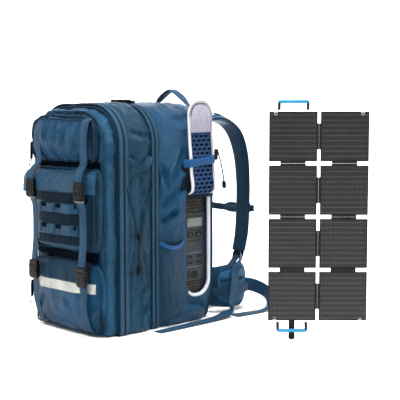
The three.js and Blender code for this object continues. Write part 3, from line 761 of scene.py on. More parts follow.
def inflate(obj, voxel, pressure, cap, pinned, frames=18, slack=-0.02, stiff=8.0):
    """Voxel remesh, then a short cloth simulation under inner pressure; the result is kept, capped at cap."""
    modifier = obj.modifiers.new("remesh", "REMESH")
    modifier.mode = "VOXEL"
    modifier.voxel_size = voxel
    modifier.use_smooth_shade = True
    bake(obj)
    rest = [v.co.copy() for v in obj.data.vertices]
    group = obj.vertex_groups.new(name="held")
    held = [i for i, place in enumerate(rest) if pinned(place)]
    group.add(held, 1.0, "REPLACE")
    cloth_modifier = obj.modifiers.new("cloth", "CLOTH")
    settings = cloth_modifier.settings
    settings.quality = 5
    settings.mass = 0.25
    settings.tension_stiffness = stiff
    settings.compression_stiffness = stiff
    settings.shear_stiffness = stiff / 2
    settings.bending_stiffness = 0.4
    settings.vertex_group_mass = "held"
    settings.use_pressure = True
    settings.uniform_pressure_force = pressure
    settings.shrink_min = slack
    settings.effector_weights.gravity = 0
    cloth_modifier.collision_settings.use_collision = False
    cloth_modifier.point_cache.frame_end = frames
    for number in range(1, frames + 1):
        scene.frame_set(number)
    bake(obj)
    scene.frame_set(1)
    for vertex, start in zip(obj.data.vertices, rest):
        step = vertex.co - start
        if step.length > cap:
            vertex.co = start + step * (cap / step.length)
    obj.vertex_groups.clear()
    smoother = obj.modifiers.new("smooth", "SMOOTH")
    smoother.factor = 0.5
    smoother.iterations = 2
    bake(obj)
    obj.data.polygons.foreach_set("use_smooth", [True] * len(obj.data.polygons))
    return obj


def arch(spec, y, inset=0.0, start=0.0, end=1.0, count=160, lift=0.0):
    """Points over a compartment's outline at one y, from low on the +X side, over the top, to -X."""
    ring = even_ring(outline(**spec, inset=inset - lift), 400)
    low, high = int(400 * (0.5 * start)), int(400 * (1 - 0.5 * (1 - end)))
    chosen = [Vector((p.x, y, p.z)) for p in ring[low : high + 1]]
    return spread(chosen, count)


def zip_line(prefix, path, sides, width, body, piping=0.0016, tape="tape", coil=0.0046):
    """A zip set in a seam: two tapes, a coil of teeth between them, and piping at each edge."""
    half = width / 2
    parts = []
    strip = (half - coil / 2 - 0.0006)
    for name, offset in (("a", 1), ("b", -1)):
        centre = offset * (coil / 2 + strip / 2)
        profile = [(a + centre, b) for a, b in band_profile(strip, 0.0022, edge=0.001, rise=0.0006)]
        parts.append(sweep(f"{prefix}_tape_{name}", path, sides, profile, tape))
        edge = [(a + offset * half, b + 0.0004) for a, b in circle(piping, 6)]
        parts.append(sweep(f"{prefix}_edge_{name}", path, sides, edge, "piping"))
    parts.append(zip_teeth(f"{prefix}_teeth", path, sides, coil))
    made = join(prefix, *parts)
    return put(made, body)


# ---------------------------------------------------------------- cords and loose webbing
def tail_route():
    points = [(160, 262, 118), (165, 255, 84), (176, 238, 50), (191, 205, 16), (198, 150, 7), (198, 60, 5),
              (196, -24, 3), (193, -76, 2)]
    sides = [(0, -1, 0), (0.1, -1, -0.2), (0.4, -1, -0.5), (0.9, -0.7, -0.1), (1, -0.1, 0), (1, 0, 0),
             (1, 0, 0), (1, 0, 0)]
    return [Vector(p) * 0.001 for p in points], sides


def make_loose_webbing():
    points, sides = tail_route()
    path = smooth_path(points, 60)
    tail = sweep("hip_tail_strap", path, spread_vectors(sides, 60), band_profile(0.030, 0.002), "webbing")
    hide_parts("hip_tail")
    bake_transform(tail, "hip_wing_right", "pack", start=(0.162, 0.262, 0.105), end=(0.192, 0.205, 0.020))

    points = [Vector(p) * 0.001 for p in (
        (119, 349, 66), (141, 375, 58), (176, 388, 40), (206, 366, 14), (213, 318, 3), (208, 262, 2),
        (200, 214, 2))]
    sides = [(0, 0, 1), (0.1, 0, 1), (0.5, 0.1, 1), (1, 0.4, 0.55), (1, 0.1, 0.05), (1, -0.1, 0),
             (1, -0.15, 0)]
    path = smooth_path(points, 50)
    belt = sweep("hip_belt_strap", path, spread_vectors(sides, 50), band_profile(0.038, 0.002), "webbing")
    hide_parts("hip_webbing")
    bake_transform(belt, "hip_wing_right", "pack", start=(0.125, 0.352, 0.065), end=(0.207, 0.360, 0.012))


def make_pull_cord(name, node, points, radius, body, tip_size=1.0):
    path = smooth_path([Vector(p) * 0.001 for p in points], 30)
    cord = tube(name, path, radius, "cord", count=10)
    put(cord, body, node)
    end = path[-1]
    down = (path[-1] - path[-2]).normalized()
    side = down.orthogonal().normalized()
    other = down.cross(side)
    rings = []
    for step, grow in ((-0.016, 1.0), (-0.012, 1.5), (-0.006, 1.7), (0.002, 1.6), (0.005, 1.0)):
        rings.append([end + down * step + (side * math.cos(a)
                                           + other * math.sin(a)) * radius * grow * tip_size
                      for a in (2 * math.pi * i / 10 for i in range(10))])
    points = [p for ring in rings for p in ring]
    faces = ring_faces(len(rings), 10) + [tuple(range(10))[::-1], tuple(range(40, 50))]
    tip = make_object(name + "_tip", points, faces, "plastic")
    put(tip, body)


def make_cords():
    make_loose_webbing()
    make_pull_cord("cover_pull_cord", "cover_zip_cord",
                   [(172, 175, 470), (174, 178, 456), (176, 186, 430), (177, 194, 395), (177, 198, 366)],
                   0.0019, "port_cover", tip_size=1.9)
    make_pull_cord("side_pull_cord", "side_zip_cord",
                   [(165.4, -112, 229), (164.8, -112, 207), (163.9, -111, 182), (163.4, -110, 158)],
                   0.0024, "side_zip", tip_size=1.5)


# ---------------------------------------------------------------- the pack's body
def body_mask(place):
    """No folds under the seams, at the flat base or on the seam edges."""
    seams = min(abs(place.y - s) for s in (-0.158, -0.050, FRONT_Y, BACK_Y))
    return min(seams / 0.024, 1) * min(max(place.z, 0) / 0.04, 1)


SIDE_FOLDS_MAIN = [
    ((-0.140, 0.522), (-0.066, 0.508)), ((-0.140, 0.470), (-0.102, 0.440)),
                   ((-0.102, 0.438), (-0.062, 0.470)),
    ((-0.136, 0.402), (-0.078, 0.424)), ((-0.132, 0.345), (-0.116, 0.270)),
                   ((-0.066, 0.372), (-0.110, 0.268)),
    ((-0.088, 0.395), (-0.100, 0.300)), ((-0.122, 0.236), (-0.138, 0.130)),
                   ((-0.100, 0.232), (-0.076, 0.120)),
    ((-0.132, 0.095), (-0.072, 0.118)), ((-0.126, 0.052), (-0.070, 0.060)),
]
SIDE_FOLDS_REAR = [
    ((-0.024, 0.318), (0.052, 0.372)), ((-0.020, 0.288), (0.030, 0.312)), ((0.052, 0.470), (0.018, 0.392)),
    ((-0.020, 0.430), (0.004, 0.360)), ((0.066, 0.058), (0.150, 0.040)), ((0.030, 0.545), (0.120, 0.560)),
]


def cord_hollow(obj):
    """Hold the cloth back behind the side zip's cord."""
    for vertex in obj.data.vertices:
        p = vertex.co
        if p.x > BODY_HALF - 0.02 and 0.008 < p.z < 0.462:
            near = min(1.25 * math.exp(-(((p.y + 0.111) / 0.012) ** 4)), 1)
            near *= min((p.z - 0.008) / 0.01, (0.462 - p.z) / 0.02, 1)
            p.x += min(BODY_HALF - 0.0012 - p.x, 0) * near
    obj.data.update()


def front_lift(p):
    """The pack's far lower front corner is drawn up off the floor."""
    share = min(max((0.02 - p.x) / 0.16, 0), 1) ** 1.6
    ahead = min(max((FRONT_Y - p.y) / 0.02, 0), 1)
    low = min(max(1 - p.z / 0.13, 0), 1)
    return Vector((p.x, p.y, p.z + 0.020 * share * ahead * low))


def tuck(p):
    """The pack's rear lower corner rounds in under the hip wing."""
    low = min(max((0.130 - p.z) / 0.130, 0), 1) ** 1.9
    share = min(max((abs(p.x) - 0.100) / 0.050, 0), 1) * min(max((p.y - 0.085) / 0.080, 0), 1)
    return Vector((p.x, p.y - 0.026 * low * share, p.z))


def make_body():
    sides = lambda p: (p.y, p.z)
    levels = [(SPLIT_Y + 0.0004, 0.005), (SPLIT_Y - 0.012, 0.001), (-0.064, 0.0015), (-0.085, -0.004),
              (-0.110, -0.005), (-0.130, -0.003), (-0.142, 0.0015), (-0.165, 0.001),
              (FRONT_Y + 0.004, 0.003),
              (FRONT_Y, 0.008)]
    main = shell_between("main_shell", BODY, levels, "shell_dark", 0.002)
    wrinkle(main, 0.0050, (14, 22, 9), 3, body_mask)
    crease(main, SIDE_FOLDS_MAIN, 0.0085, 0.0082, X, sides)
    cord_hollow(main)
    crease(main, SIDE_FOLDS_MAIN, 0.0075, 0.0040, -X, sides)
    put(main, "pack", "main_compartment")

    levels = [(SPLIT_Y, 0.005), (SPLIT_Y + 0.012, 0.001), (0.0, -0.003), (0.04, -0.005), (0.08, -0.005),
              (0.12, -0.004), (0.15, 0.0), (BACK_Y - 0.012, 0.002), (BACK_Y - 0.003, 0.006),
              (BACK_Y, 0.012)]
    rear = shell_between("rear_shell", BODY, levels, "shell", 0.004)
    near_bay = lambda p: 0.15 if p.x > 0.1 and p.y > 0.045 and 0.05 < p.z < 0.37 else 1.0
    wrinkle(rear, 0.0036, (12, 18, 9), 11, lambda p: body_mask(p) * near_bay(p))
    crease(rear, SIDE_FOLDS_REAR, 0.010, 0.0088, X, sides)
    crease(rear, SIDE_FOLDS_REAR, 0.009, 0.0040, -X, sides)
    for vertex in rear.data.vertices:
        vertex.co = tuck(vertex.co)
    cutter = make_cutter(0.1412, 0.1800)
    modifier = rear.modifiers.new("bay", "BOOLEAN")
    modifier.operation = "DIFFERENCE"
    modifier.solver = "EXACT"
    modifier.object = cutter
    bake(rear)
    bpy.data.objects.remove(cutter)
    put(rear, "pack", "rear_compartment")

    levels = [(FRONT_Y - 0.0004, 0.0), (FRONT_Y - 0.012, -0.001), (FRONT_Y - 0.024, 0.001),
              (FRONT_Y - 0.031, 0.007)]
    front = shell_between("front_shell", FRONT, levels, "gusset", 0.003)
    calmer_low = lambda p: min(max(p.z, 0) / 0.03, 1) * (0.4 if p.z < 0.2 else 1.0)
    wrinkle(front, 0.0052, (26, 22, 13), 7, calmer_low, sharp=1.6,
            fine=0.5)
    for vertex in front.data.vertices:
        vertex.co = front_lift(vertex.co)
    put(front, "pack", "front_compartment")


def shell_between(name, spec, levels, material, crown, count=440, step=0.0045):
    """A stuffed section of the pack: rings between seams, closed by slightly crowned faces."""
    fine = []
    for (y0, i0), (y1, i1) in zip(levels, levels[1:]):
        steps = max(round(abs(y1 - y0) / step), 1)
        for k in range(steps):
            share = k / steps
            ease = share * share * (3 - 2 * share)
            fine.append((y0 + (y1 - y0) * share, i0 + (i1 - i0) * ease))
    fine.append(levels[-1])
    rings = []
    for y, inset in fine:
        ring = even_ring(outline(**spec, inset=inset), count)
        rings.append([Vector((p.x, y, max(p.z, spec["bottom"]))) for p in ring])
    points = [p for ring in rings for p in ring]
    faces = ring_faces(len(rings), count)
    middle = (spec["top"] + spec["bottom"]) / 2
    ends = ((rings[0], levels[0][0] - levels[1][0], 0),
            (rings[-1], levels[-1][0] - levels[-2][0], len(rings) - 1))
    for ring, outward, index in ends:
        sign = 1 if outward > 0 else -1
        previous = list(range(index * count, (index + 1) * count))
        centre = Vector((0, ring[0].y, middle))
        for k in range(1, 22):
            share = k / 22
            start = len(points)
            for p in ring:
                q = p.lerp(centre, share)
                q.y += sign * crown * (1 - (1 - share) ** 2)
                points.append(q)
            current = list(range(start, start + count))
            faces += [(previous[j], previous[(j + 1) % count], current[(j + 1) % count], current[j])
                      for j in range(count)]
            previous = current
        points.append(sum((points[i] for i in previous), Vector()) / count)
        faces += [(previous[j], previous[(j + 1) % count], len(points) - 1) for j in range(count)]
    return make_object(name, points, faces, material)


def window_loop(grow=0.0, steps=10):
    """(y, z) outline of the power bay's window: square at the top, round at the bottom."""
    y0, y1 = WINDOW["y0"] - grow, WINDOW["y1"] + grow
    bottom, top, radius = WINDOW["bottom"] - grow, WINDOW["top"], WINDOW["radius"] + grow
    points = [(y1, top)]
    for i in range(14):
        points.append((y1, top + (bottom + radius - top) * (i + 1) / 15))
    for cy, start in ((y1 - radius, 0), (y0 + radius, -90)):
        for i in range(steps + 1):
            angle = math.radians(start - 90 * i / steps)
            points.append((cy + radius * math.cos(angle), bottom + radius + radius * math.sin(angle)))
    for i in range(14):
        points.append((y0, bottom + radius + (top - bottom - radius) * (i + 1) / 15))
    points.append((y0, top))
    return points


def make_cutter(x0, x1):
    loop = window_loop()
    count = len(loop)
    points = [Vector((x, y, z)) for x in (x0, x1) for y, z in loop]
    faces = ring_faces(2, count) + [tuple(range(count))[::-1], tuple(range(count, 2 * count))]
    return make_object("window_cutter", points, faces, "bay_dark", smooth=False)


def make_zips():
    for prefix, y, width in (("main_zip", -0.158, 0.032), ("rear_zip", -0.050, 0.024)):
        path = arch(BODY, y, inset=-0.0012, start=0.10, end=0.90, count=230)
        zip_line(prefix, path, Y, width, "pack")
    for prefix, spec, y, inset, radius in (
        ("front_piping", FRONT, FRONT_Y - 0.0325, 0.0055, 0.0022),
        ("body_piping", BODY, FRONT_Y - 0.0005, 0.006, 0.0019),
        ("back_piping", BODY, BACK_Y - 0.004, 0.004, 0.0025),
    ):
        path = [tuck(p) for p in arch(spec, y, inset=inset, start=0.02, end=0.98, count=220)]
        line = sweep(prefix, path, Y, circle(radius, 8), "piping")
        put(line, "pack")
    # Two seams run down the side and meet at the side zip's slider.
    for name, y0 in (("side_seam_front", -0.150), ("side_seam_rear", -0.060)):
        inner = lambda share: y0 + (-0.112 - y0) * share
        path = smooth_path([Vector((BODY_HALF + 0.0026, y0, 0.384)),
                            Vector((BODY_HALF + 0.0056, inner(0.22), 0.352)),
                            Vector((BODY_HALF + 0.0062, inner(0.66), 0.296)),
                            Vector((BODY_HALF + 0.0040, -0.112, 0.256))], 40)
        line = sweep(name, path, Y, circle(0.0018, 8), "piping")
        put(line, "pack")


# ---------------------------------------------------------------- front pockets
def crowned(spec, depth, power, front, back):
    """Bend a pocket's front back towards its side edges."""
    def bend(p):
        share = min(max((back - p.y) / (back - front), 0), 1)
        return Vector((p.x, p.y + depth * min(abs(p.x) / spec["half"], 1) ** power * share, p.z))
    return bend


def top_bend(p):
    q = crowned(TOP_POCKET, 0.015 if p.x > 0 else 0.006, 4, -0.236, POCKET_Y)(p)
    if p.x < 0:
        q.x *= 1.075
    share = min(max((POCKET_Y - p.y) / 0.028, 0), 1)
    below, above = max(0.488 - p.z, 0), max(p.z - 0.502, 0)
    q.y += share * (0.017 * (below / 0.047) ** 2 + 0.006 * (above / 0.060) ** 1.5)
    return q


def molle_bend(p):
    return crowned(MOLLE_POCKET, 0.018, 4, -0.244, POCKET_Y)(p)


def lower_bend(p):
    share = min(max((POCKET_Y - p.y) / 0.034, 0), 1)
    below = max(0.105 - p.z, 0) / 0.095
    above = max(p.z - 0.145, 0) / 0.046
    side = 0.026 * min(abs(p.x) / LOWER_POCKET["half"], 1) ** 6
    q = Vector((p.x, p.y + share * (side + 0.016 * below**2 + 0.008 * above**2), p.z))
    return front_lift(q)


def under_strap(place, reach=0.014):
    return abs(abs(place.x) - STRAP_X) < reach


TOP_FOLDS = [
    ((-0.062, 0.548), (-0.050, 0.505)), ((-0.022, 0.552), (-0.014, 0.500)),
             ((0.030, 0.550), (0.018, 0.492)),
    ((0.058, 0.505), (0.078, 0.455)), ((0.040, 0.472), (0.066, 0.452)), ((-0.086, 0.492), (-0.050, 0.462)),
    ((0.010, 0.474), (0.030, 0.452)), ((-0.034, 0.476), (-0.010, 0.455)),
             ((-0.074, 0.470), (-0.064, 0.450)),
]
LOWER_FOLDS = [
    ((0.104, 0.100), (0.120, 0.070)), ((0.106, 0.060), (0.126, 0.090)), ((-0.050, 0.034), (0.050, 0.030)),
    ((-0.070, 0.090), (-0.086, 0.050)), ((0.030, 0.096), (0.050, 0.062)),
]


def blow_pocket(name, spec, levels, material, bend, seam, held, voxel, pressure, cap, slack):
    """A pocket blown up in a cloth simulation, held at its rear, along its seam and under the straps."""
    pocket = pillow(name, spec, levels, 0.002, material, bend=bend)
    seam_inset, seam_y = seam
    rear_y, strap_margin = held

    def pinned(p):
        on_seam = abs(inset_at(spec, p.x, p.z) - seam_inset) < 0.004 and p.y < seam_y
        return p.y > rear_y or under_strap(p, strap_margin) or on_seam

    inflate(pocket, voxel, pressure, cap, pinned, slack=slack)
    return pocket


def make_pockets():
    levels = [(POCKET_Y, -0.004), (-0.214, -0.003), (-0.222, 0.000), (-0.230, 0.003), (-0.2345, 0.008)]
    top = blow_pocket("top_pocket_soft", TOP_POCKET, levels, "shell", top_bend, seam=(0.008, -0.22),
                      held=(-0.213, 0.009), voxel=0.0045, pressure=7.0, cap=0.012, slack=-0.07)
    wrinkle(top, 0.0036, (34, 20, 13), 31, lambda p: 1.0 if p.y < -0.212 else 0.3, sharp=1.6, fine=0.4)
    crease(top, TOP_FOLDS, 0.0060, 0.0042, -Y, lambda p: (p.x, p.z))
    put(top, "pack", "top_pocket")

    levels = [(POCKET_Y, -0.016), (-0.216, -0.014), (-0.230, -0.005), (-0.238, 0.003), (-0.2425, 0.010)]
    molle = blow_pocket("molle_pocket_soft", MOLLE_POCKET, levels, "shell_dark", molle_bend,
                        seam=(0.009, -0.225), held=(-0.214, 0.013), voxel=0.0055, pressure=4.0,
                        cap=0.006, slack=-0.02)
    wrinkle(molle, 0.0022, (26, 22, 12), 37, lambda p: 1.0 if abs(p.x) > 0.115 else 0.5)
    put(molle, "pack", "molle_pocket")

    levels = [(POCKET_Y, -0.006), (-0.216, -0.006), (-0.228, 0.0), (-0.236, 0.004), (-0.2405, 0.012)]
    lower = blow_pocket("lower_pocket_soft", LOWER_POCKET, levels, "shell", lower_bend,
                        seam=(0.010, -0.222),
                        held=(-0.214, 0.010), voxel=0.0055, pressure=4.0, cap=0.007, slack=-0.02)
    wrinkle(lower, 0.0028, (16, 20, 16), 41)
    crease(lower, LOWER_FOLDS, 0.0070, 0.0034, -Y, lambda p: (p.x, p.z))
    for vertex in lower.data.vertices:
        vertex.co.z = max(vertex.co.z, 0.004)
    put(lower, "pack", "lower_pocket")

    # Piping on each pocket's front edge.
    for name, pocket, spec, y, inset, bend in (
        ("top_pocket_piping", top, TOP_POCKET, -0.2350, 0.0070, top_bend),
        ("molle_pocket_piping", molle, MOLLE_POCKET, -0.2430, 0.0090, molle_bend),
        ("lower_pocket_piping", lower, LOWER_POCKET, -0.2350, 0.0045, lower_bend),
    ):
        path = [bend(p) for p in arch(spec, y, inset=inset, count=200)]
        line = tube(name, settle(path, pocket, 0.0006), 0.0020, "piping", side=Y)
        put(line, "pack")
    # Zips in the gussets of the pockets.
    for name, pocket, spec, y, start, end in (
        ("molle_pocket_zip", molle, MOLLE_POCKET, -0.2265, 0.12, 0.88),
        ("top_pocket_zip", top, TOP_POCKET, -0.2215, 0.30, 0.70),
        ("lower_pocket_zip", lower, LOWER_POCKET, -0.2255, 0.22, 0.78),
    ):
        path = settle(arch(spec, y, inset=-0.0030, start=start, end=end, count=150), pocket)
        zip_line(name, path, Y, 0.012, "pack", piping=0.0010, tape="gusset", coil=0.0034)
    for name, y in (("molle_pocket_seam", -0.2150), ("top_pocket_seam", -0.2140)):
        spec = MOLLE_POCKET if "molle" in name else TOP_POCKET
        owner = molle if "molle" in name else top
        line = tube(name, settle(arch(spec, y, inset=-0.002, count=160), owner), 0.0015, "piping", side=Y)
        put(line, "pack")
    # Painted shadow: dark strips set deep in the recesses above and below the middle pocket stand in for the
    # shade there.
    for name, y, z, slope, high in (
        ("recess_upper", -0.2225, 0.4345, 0.0, 0.024),
        ("recess_lower", -0.2300, 0.2075, -0.040, 0.022),
    ):
        points = []
        for k in range(61):
            x = -0.126 + 0.252 * k / 60
            points.append(Vector((x, y + 0.014 * (abs(x) / 0.126) ** 8, z + slope * x)))
        strip = sweep(name, points, Z, band_profile(high, 0.0016), "slot")
        put(strip, "pack")
    # The lower pocket's second line of piping, which runs out to the pack's corner.
    for side, sign in SIDES:
        run = [(0.108, 0.193), (0.126, 0.183), (0.1365, 0.163), (0.1395, 0.120), (0.1390, 0.065),
               (0.1400, 0.030)]
        front = [Vector((sign * x, -0.2425, z)) for x, z in run]
        path = smooth_path([Vector((p.x, lower_bend(p).y + 0.013, p.z)) for p in front], 60)
        line = tube(f"lower_pocket_welt_{side}", settle(path, lower, 0.0008), 0.0021, "piping", side=Y)
        put(line, "pack")


def settle(path, obj, lift=0.0002, steps=3):
    """Move a line onto a piece's surface, then even it out."""
    placed = []
    for p in path:
        _, place, normal, _ = obj.closest_point_on_mesh(p)
        placed.append(place + normal * lift)
    for _ in range(steps):
        placed = [placed[0]] + [(a + b * 2 + c) / 4 for a, b,
                                c in zip(placed, placed[1:], placed[2:])] + [placed[-1]]
    return placed


def flap_shape(x, share):
    """The lid over the middle pocket; share runs from its hinge line to its lower edge."""
    line = [(POCKET_Y - 0.001, 0.4235), (-0.222, 0.4250), (-0.2395, 0.4240), (-0.2490, 0.4160),
            (-0.2530, 0.4040), (-0.2535, 0.3880), (-0.2530, 0.3700)]
    at = share * (len(line) - 1)
    k = min(int(at), len(line) - 2)
    y = line[k][0] + (line[k + 1][0] - line[k][0]) * (at - k)
    z = line[k][1] + (line[k + 1][1] - line[k][1]) * (at - k)
    edge = min(abs(x) / 0.132, 1.06)
    y += (0.028 if x > 0 else 0.004) * edge**6 * min(share * 2, 1)
    z -= 0.004 * edge**8
    pull = math.exp(-(((abs(x) - STRAP_X) / 0.030) ** 2))
    y += (0.0014 * math.sin(x * 60 + 1.0) + 0.0022 * pull) * share
    return Vector((x, y, z))


def make_flap():
    across, down = 72, 36
    layers = [[], []]
    for side in (0, 1):
        for j in range(down + 1):
            for i in range(across + 1):
                x = -0.141 + 0.269 * i / across
                p = flap_shape(x, j / down)
                q = flap_shape(x, min(j / down + 0.01, 1)) - flap_shape(x, max(j / down - 0.01, 0))
                out = Vector((0, q.z, -q.y)).normalized()
                layers[side].append(p + out * (0.0016 if side else -0.0016))
    flap = make_object("molle_flap_soft", *closed_sheet(layers, across + 1), "gusset")
    wrinkle(flap, 0.0026, (24, 20, 30), 5)
    put(flap, "pack", "molle_flap")
    edge = [flap_shape(-0.141 + 0.269 * i / 80, 1.0) + Vector((0, -0.0004, 0)) for i in range(81)]
    binding = sweep("molle_flap_binding", edge, Y, circle(0.0022, 8), "piping")
    put(binding, "pack")


def on_pocket(name, x, z):
    """y of a soft pocket's front face at x and z."""
    hit, place, _, _ = bpy.data.objects[name].ray_cast(Vector((x, -0.5, z)), Y)
    return place.y if hit else POCKET_Y


def pocket_front(x, z, gap=0.001):
    """y just ahead of the middle pocket's front surface."""
    around = [(x + dx, z + dz) for dx in (-0.002, 0.002) for dz in (-0.006, 0, 0.006)]
    return min(on_pocket("molle_pocket_soft", *place) for place in around) - gap


def lower_front(x, z, gap=0.001):
    return min(on_pocket("lower_pocket_soft", x + dx, z) for dx in (-0.008, 0, 0.008)) - gap


def make_molle_rows():
    """Two rows of webbing: raised loops with sewn-down gaps between, over slots cut in the cloth."""
    loops = [(-0.083, -0.061), (-0.037, -0.003), (0.022, 0.066)]
    for row, z in ((1, 0.3275), (2, 0.2730)):
        points = []
        for k in range(85):
            x = -0.090 + 0.170 * k / 84
            lift = 0.0
            for a, b in loops:
                if a < x < b:
                    share = (x - a) / (b - a)
                    lift = 0.0042 * min(math.sin(math.pi * share) * 2.2, 1)
            points.append(Vector((x, pocket_front(x, z) - 0.0014 - lift,
                                  z + 0.0008 * math.sin(x * 90 + row))))
        strip = sweep(f"molle_row_{row}", points, Z, band_profile(0.024, 0.0016), "webbing")
        put(strip, "pack")
        places = []
        for a, b in loops:
            for x in (a - 0.0015, b + 0.0015):
                for k in range(5):
                    at = Vector((x, pocket_front(x, z) - 0.0026, z - 0.009 + 0.0045 * k))
                    places.append((at, X, Z, -Y))
        tacks = copies(f"molle_tacks_{row}", pellet(0.0036, 0.0008, 0.0008), places, "piping")
        put(tacks, "pack")
        gaps = []
        for a, b in zip([-0.090] + [b for _, b in loops], [a for a, _ in loops] + [0.080]):
            middle, half = (a + b) / 2, max((b - a) / 2 - 0.003, 0.001)
            if half < 0.003:
                continue
            matrix = facing((middle, pocket_front(middle, z + 0.006) - 0.0026, z + 0.0065), X, Z)
            gaps.append(plate(f"gap_{row}_{len(gaps)}", [rounded_loop(half, 0.0052, 0.0015)],
                              0.0012, 0.0004, matrix, "slot"))
        made = join(f"molle_slots_{row}", *gaps)
        put(made, "pack")
    # Darker bands behind the loops and along the pocket's foot.
    for name, z, high in (("molle_band_upper", 0.3005, 0.024), ("molle_band_lower", 0.2450, 0.022)):
        points = [Vector((x, pocket_front(x, z) - 0.0006, z))
                  for x in (-0.084 + 0.168 * k / 40 for k in range(41))]
        strip = sweep(name, points, Z, band_profile(high, 0.0010), "deep")
        put(strip, "pack")


def laid_on(name, target, xs, zs, lift, thick, material):
    """A thin sheet of cloth that lies on the front of a piece, at a grid of x and z."""
    layers = [[], []]
    for z in zs:
        for x in xs:
            hit, place, _, _ = target.ray_cast(Vector((x, -0.5, z)), Y)
            y = place.y if hit else POCKET_Y
            layers[0].append(Vector((x, y - lift - thick, z)))
            layers[1].append(Vector((x, y - lift, z)))
    return make_object(name, *closed_sheet(layers, len(xs)), material)


def make_reflective_strip():
    xs = [-0.106 + 0.232 * i / 90 for i in range(91)]
    zs = [0.1135 + 0.025 * k / 8 for k in range(9)]
    strip = laid_on("reflective_strip", bpy.data.objects["lower_pocket_soft"], xs, zs, 0.0006, 0.0008,
                    "reflective")
    put(strip, "pack")
    # Darker cloth above the strip, and a painted shadow of the lid on the middle pocket below it.
    for name, target, half, low, high, material in (
        ("lower_pocket_yoke", "lower_pocket_soft", 0.114, 0.1425, 0.1840, "slate"),
        ("molle_shade", "molle_pocket_soft", 0.106, 0.3430, 0.3710, "deep"),
    ):
        xs = [-half + 2 * half * i / 80 for i in range(81)]
        zs = [low + (high - low) * k / 10 for k in range(11)]
        sheet = laid_on(name, bpy.data.objects[target], xs, zs, 0.0005, 0.0008, material)
        put(sheet, "pack")


# ---------------------------------------------------------------- straps and buckles
def make_buckle(level, side, sign, y, z, tilt):
    right = Vector((math.cos(tilt), math.sin(tilt), 0))
    out = right.cross(Z)
    centre = Vector((sign * STRAP_X, y, z))
    low = facing(centre + Vector((0, 0, -0.006)), right, Z)
    body = mm([(-12.5, -16), (12.5, -16), (15.2, -12.5), (16, -4), (14.2, -2), (13.6, 4), (14.2, 9),
               (16, 11),
               (16, 16), (-16, 16), (-16, 11), (-14.2, 9), (-13.6, 4), (-14.2, -2), (-16, -4),
               (-15.2, -12.5)])
    slot = mm([(-10.8, -13.2), (10.8, -13.2), (10.8, -10.8), (-10.8, -10.8)])
    parts = [plate("socket_body", [body, slot], 0.0116, 0.0020, low, "plastic")]
    face = facing(centre + Vector((0, 0, -0.004)) + out * 0.0060, right, Z)
    parts.append(plate("socket_face", [mm(rounded_loop(8.6, 9.5, 3)), mm(rounded_loop(6.6, 7.5, 2.4))],
                       0.0016, 0.0006,
                       face, "plastic"))
    parts.append(plate("socket_rib", [mm(rounded_loop(11.5, 1.0, 0.8, (0, 12)))], 0.0018, 0.0006, face,
                       "plastic"))
    for s in (-1, 1):
        # An oval ring on each side frames the latch's prong.
        matrix = facing(centre + right * (s * 0.0150) + Vector((0, 0, -0.003)), out * (-s), Z)
        parts.append(plate("socket_ring", [mm(rounded_loop(5.2, 8.2, 4.6)),
                                           mm(rounded_loop(3.4, 6.4, 3.2))], 0.0024, 0.0008,
                           matrix, "plastic"))
    socket = join(f"socket_{level}_{side}", *parts)
    put(socket, "pack", f"buckle_{level}_{side}_socket")
    top = facing(centre + Vector((0, 0, 0.0164)), right, Z)
    parts = [plate("latch_base", [mm([(-15, -6), (15, -6), (16, -2), (14.4, 6), (-14.4, 6), (-16, -2)]),
                                  mm([(-11, 0.8), (11, 0.8), (11, 3.0), (-11, 3.0)])], 0.0090, 0.0018, top,
                   "plastic")]
    for s in (-1, 1):
        loop = [(s * 7.5, -5), (s * 12.4, -5), (s * 13.0, -10), (s * 15.2, -15), (s * 15.0, -20),
                (s * 11.5, -24),
                (s * 9.0, -21), (s * 8.6, -12)]
        parts.append(plate("latch_prong", [mm(loop)], 0.0050, 0.0010, top, "plastic"))
    latch = join(f"latch_{level}_{side}", *parts)
    put(latch, f"latch_{level}_{side}", f"buckle_{level}_{side}_latch")


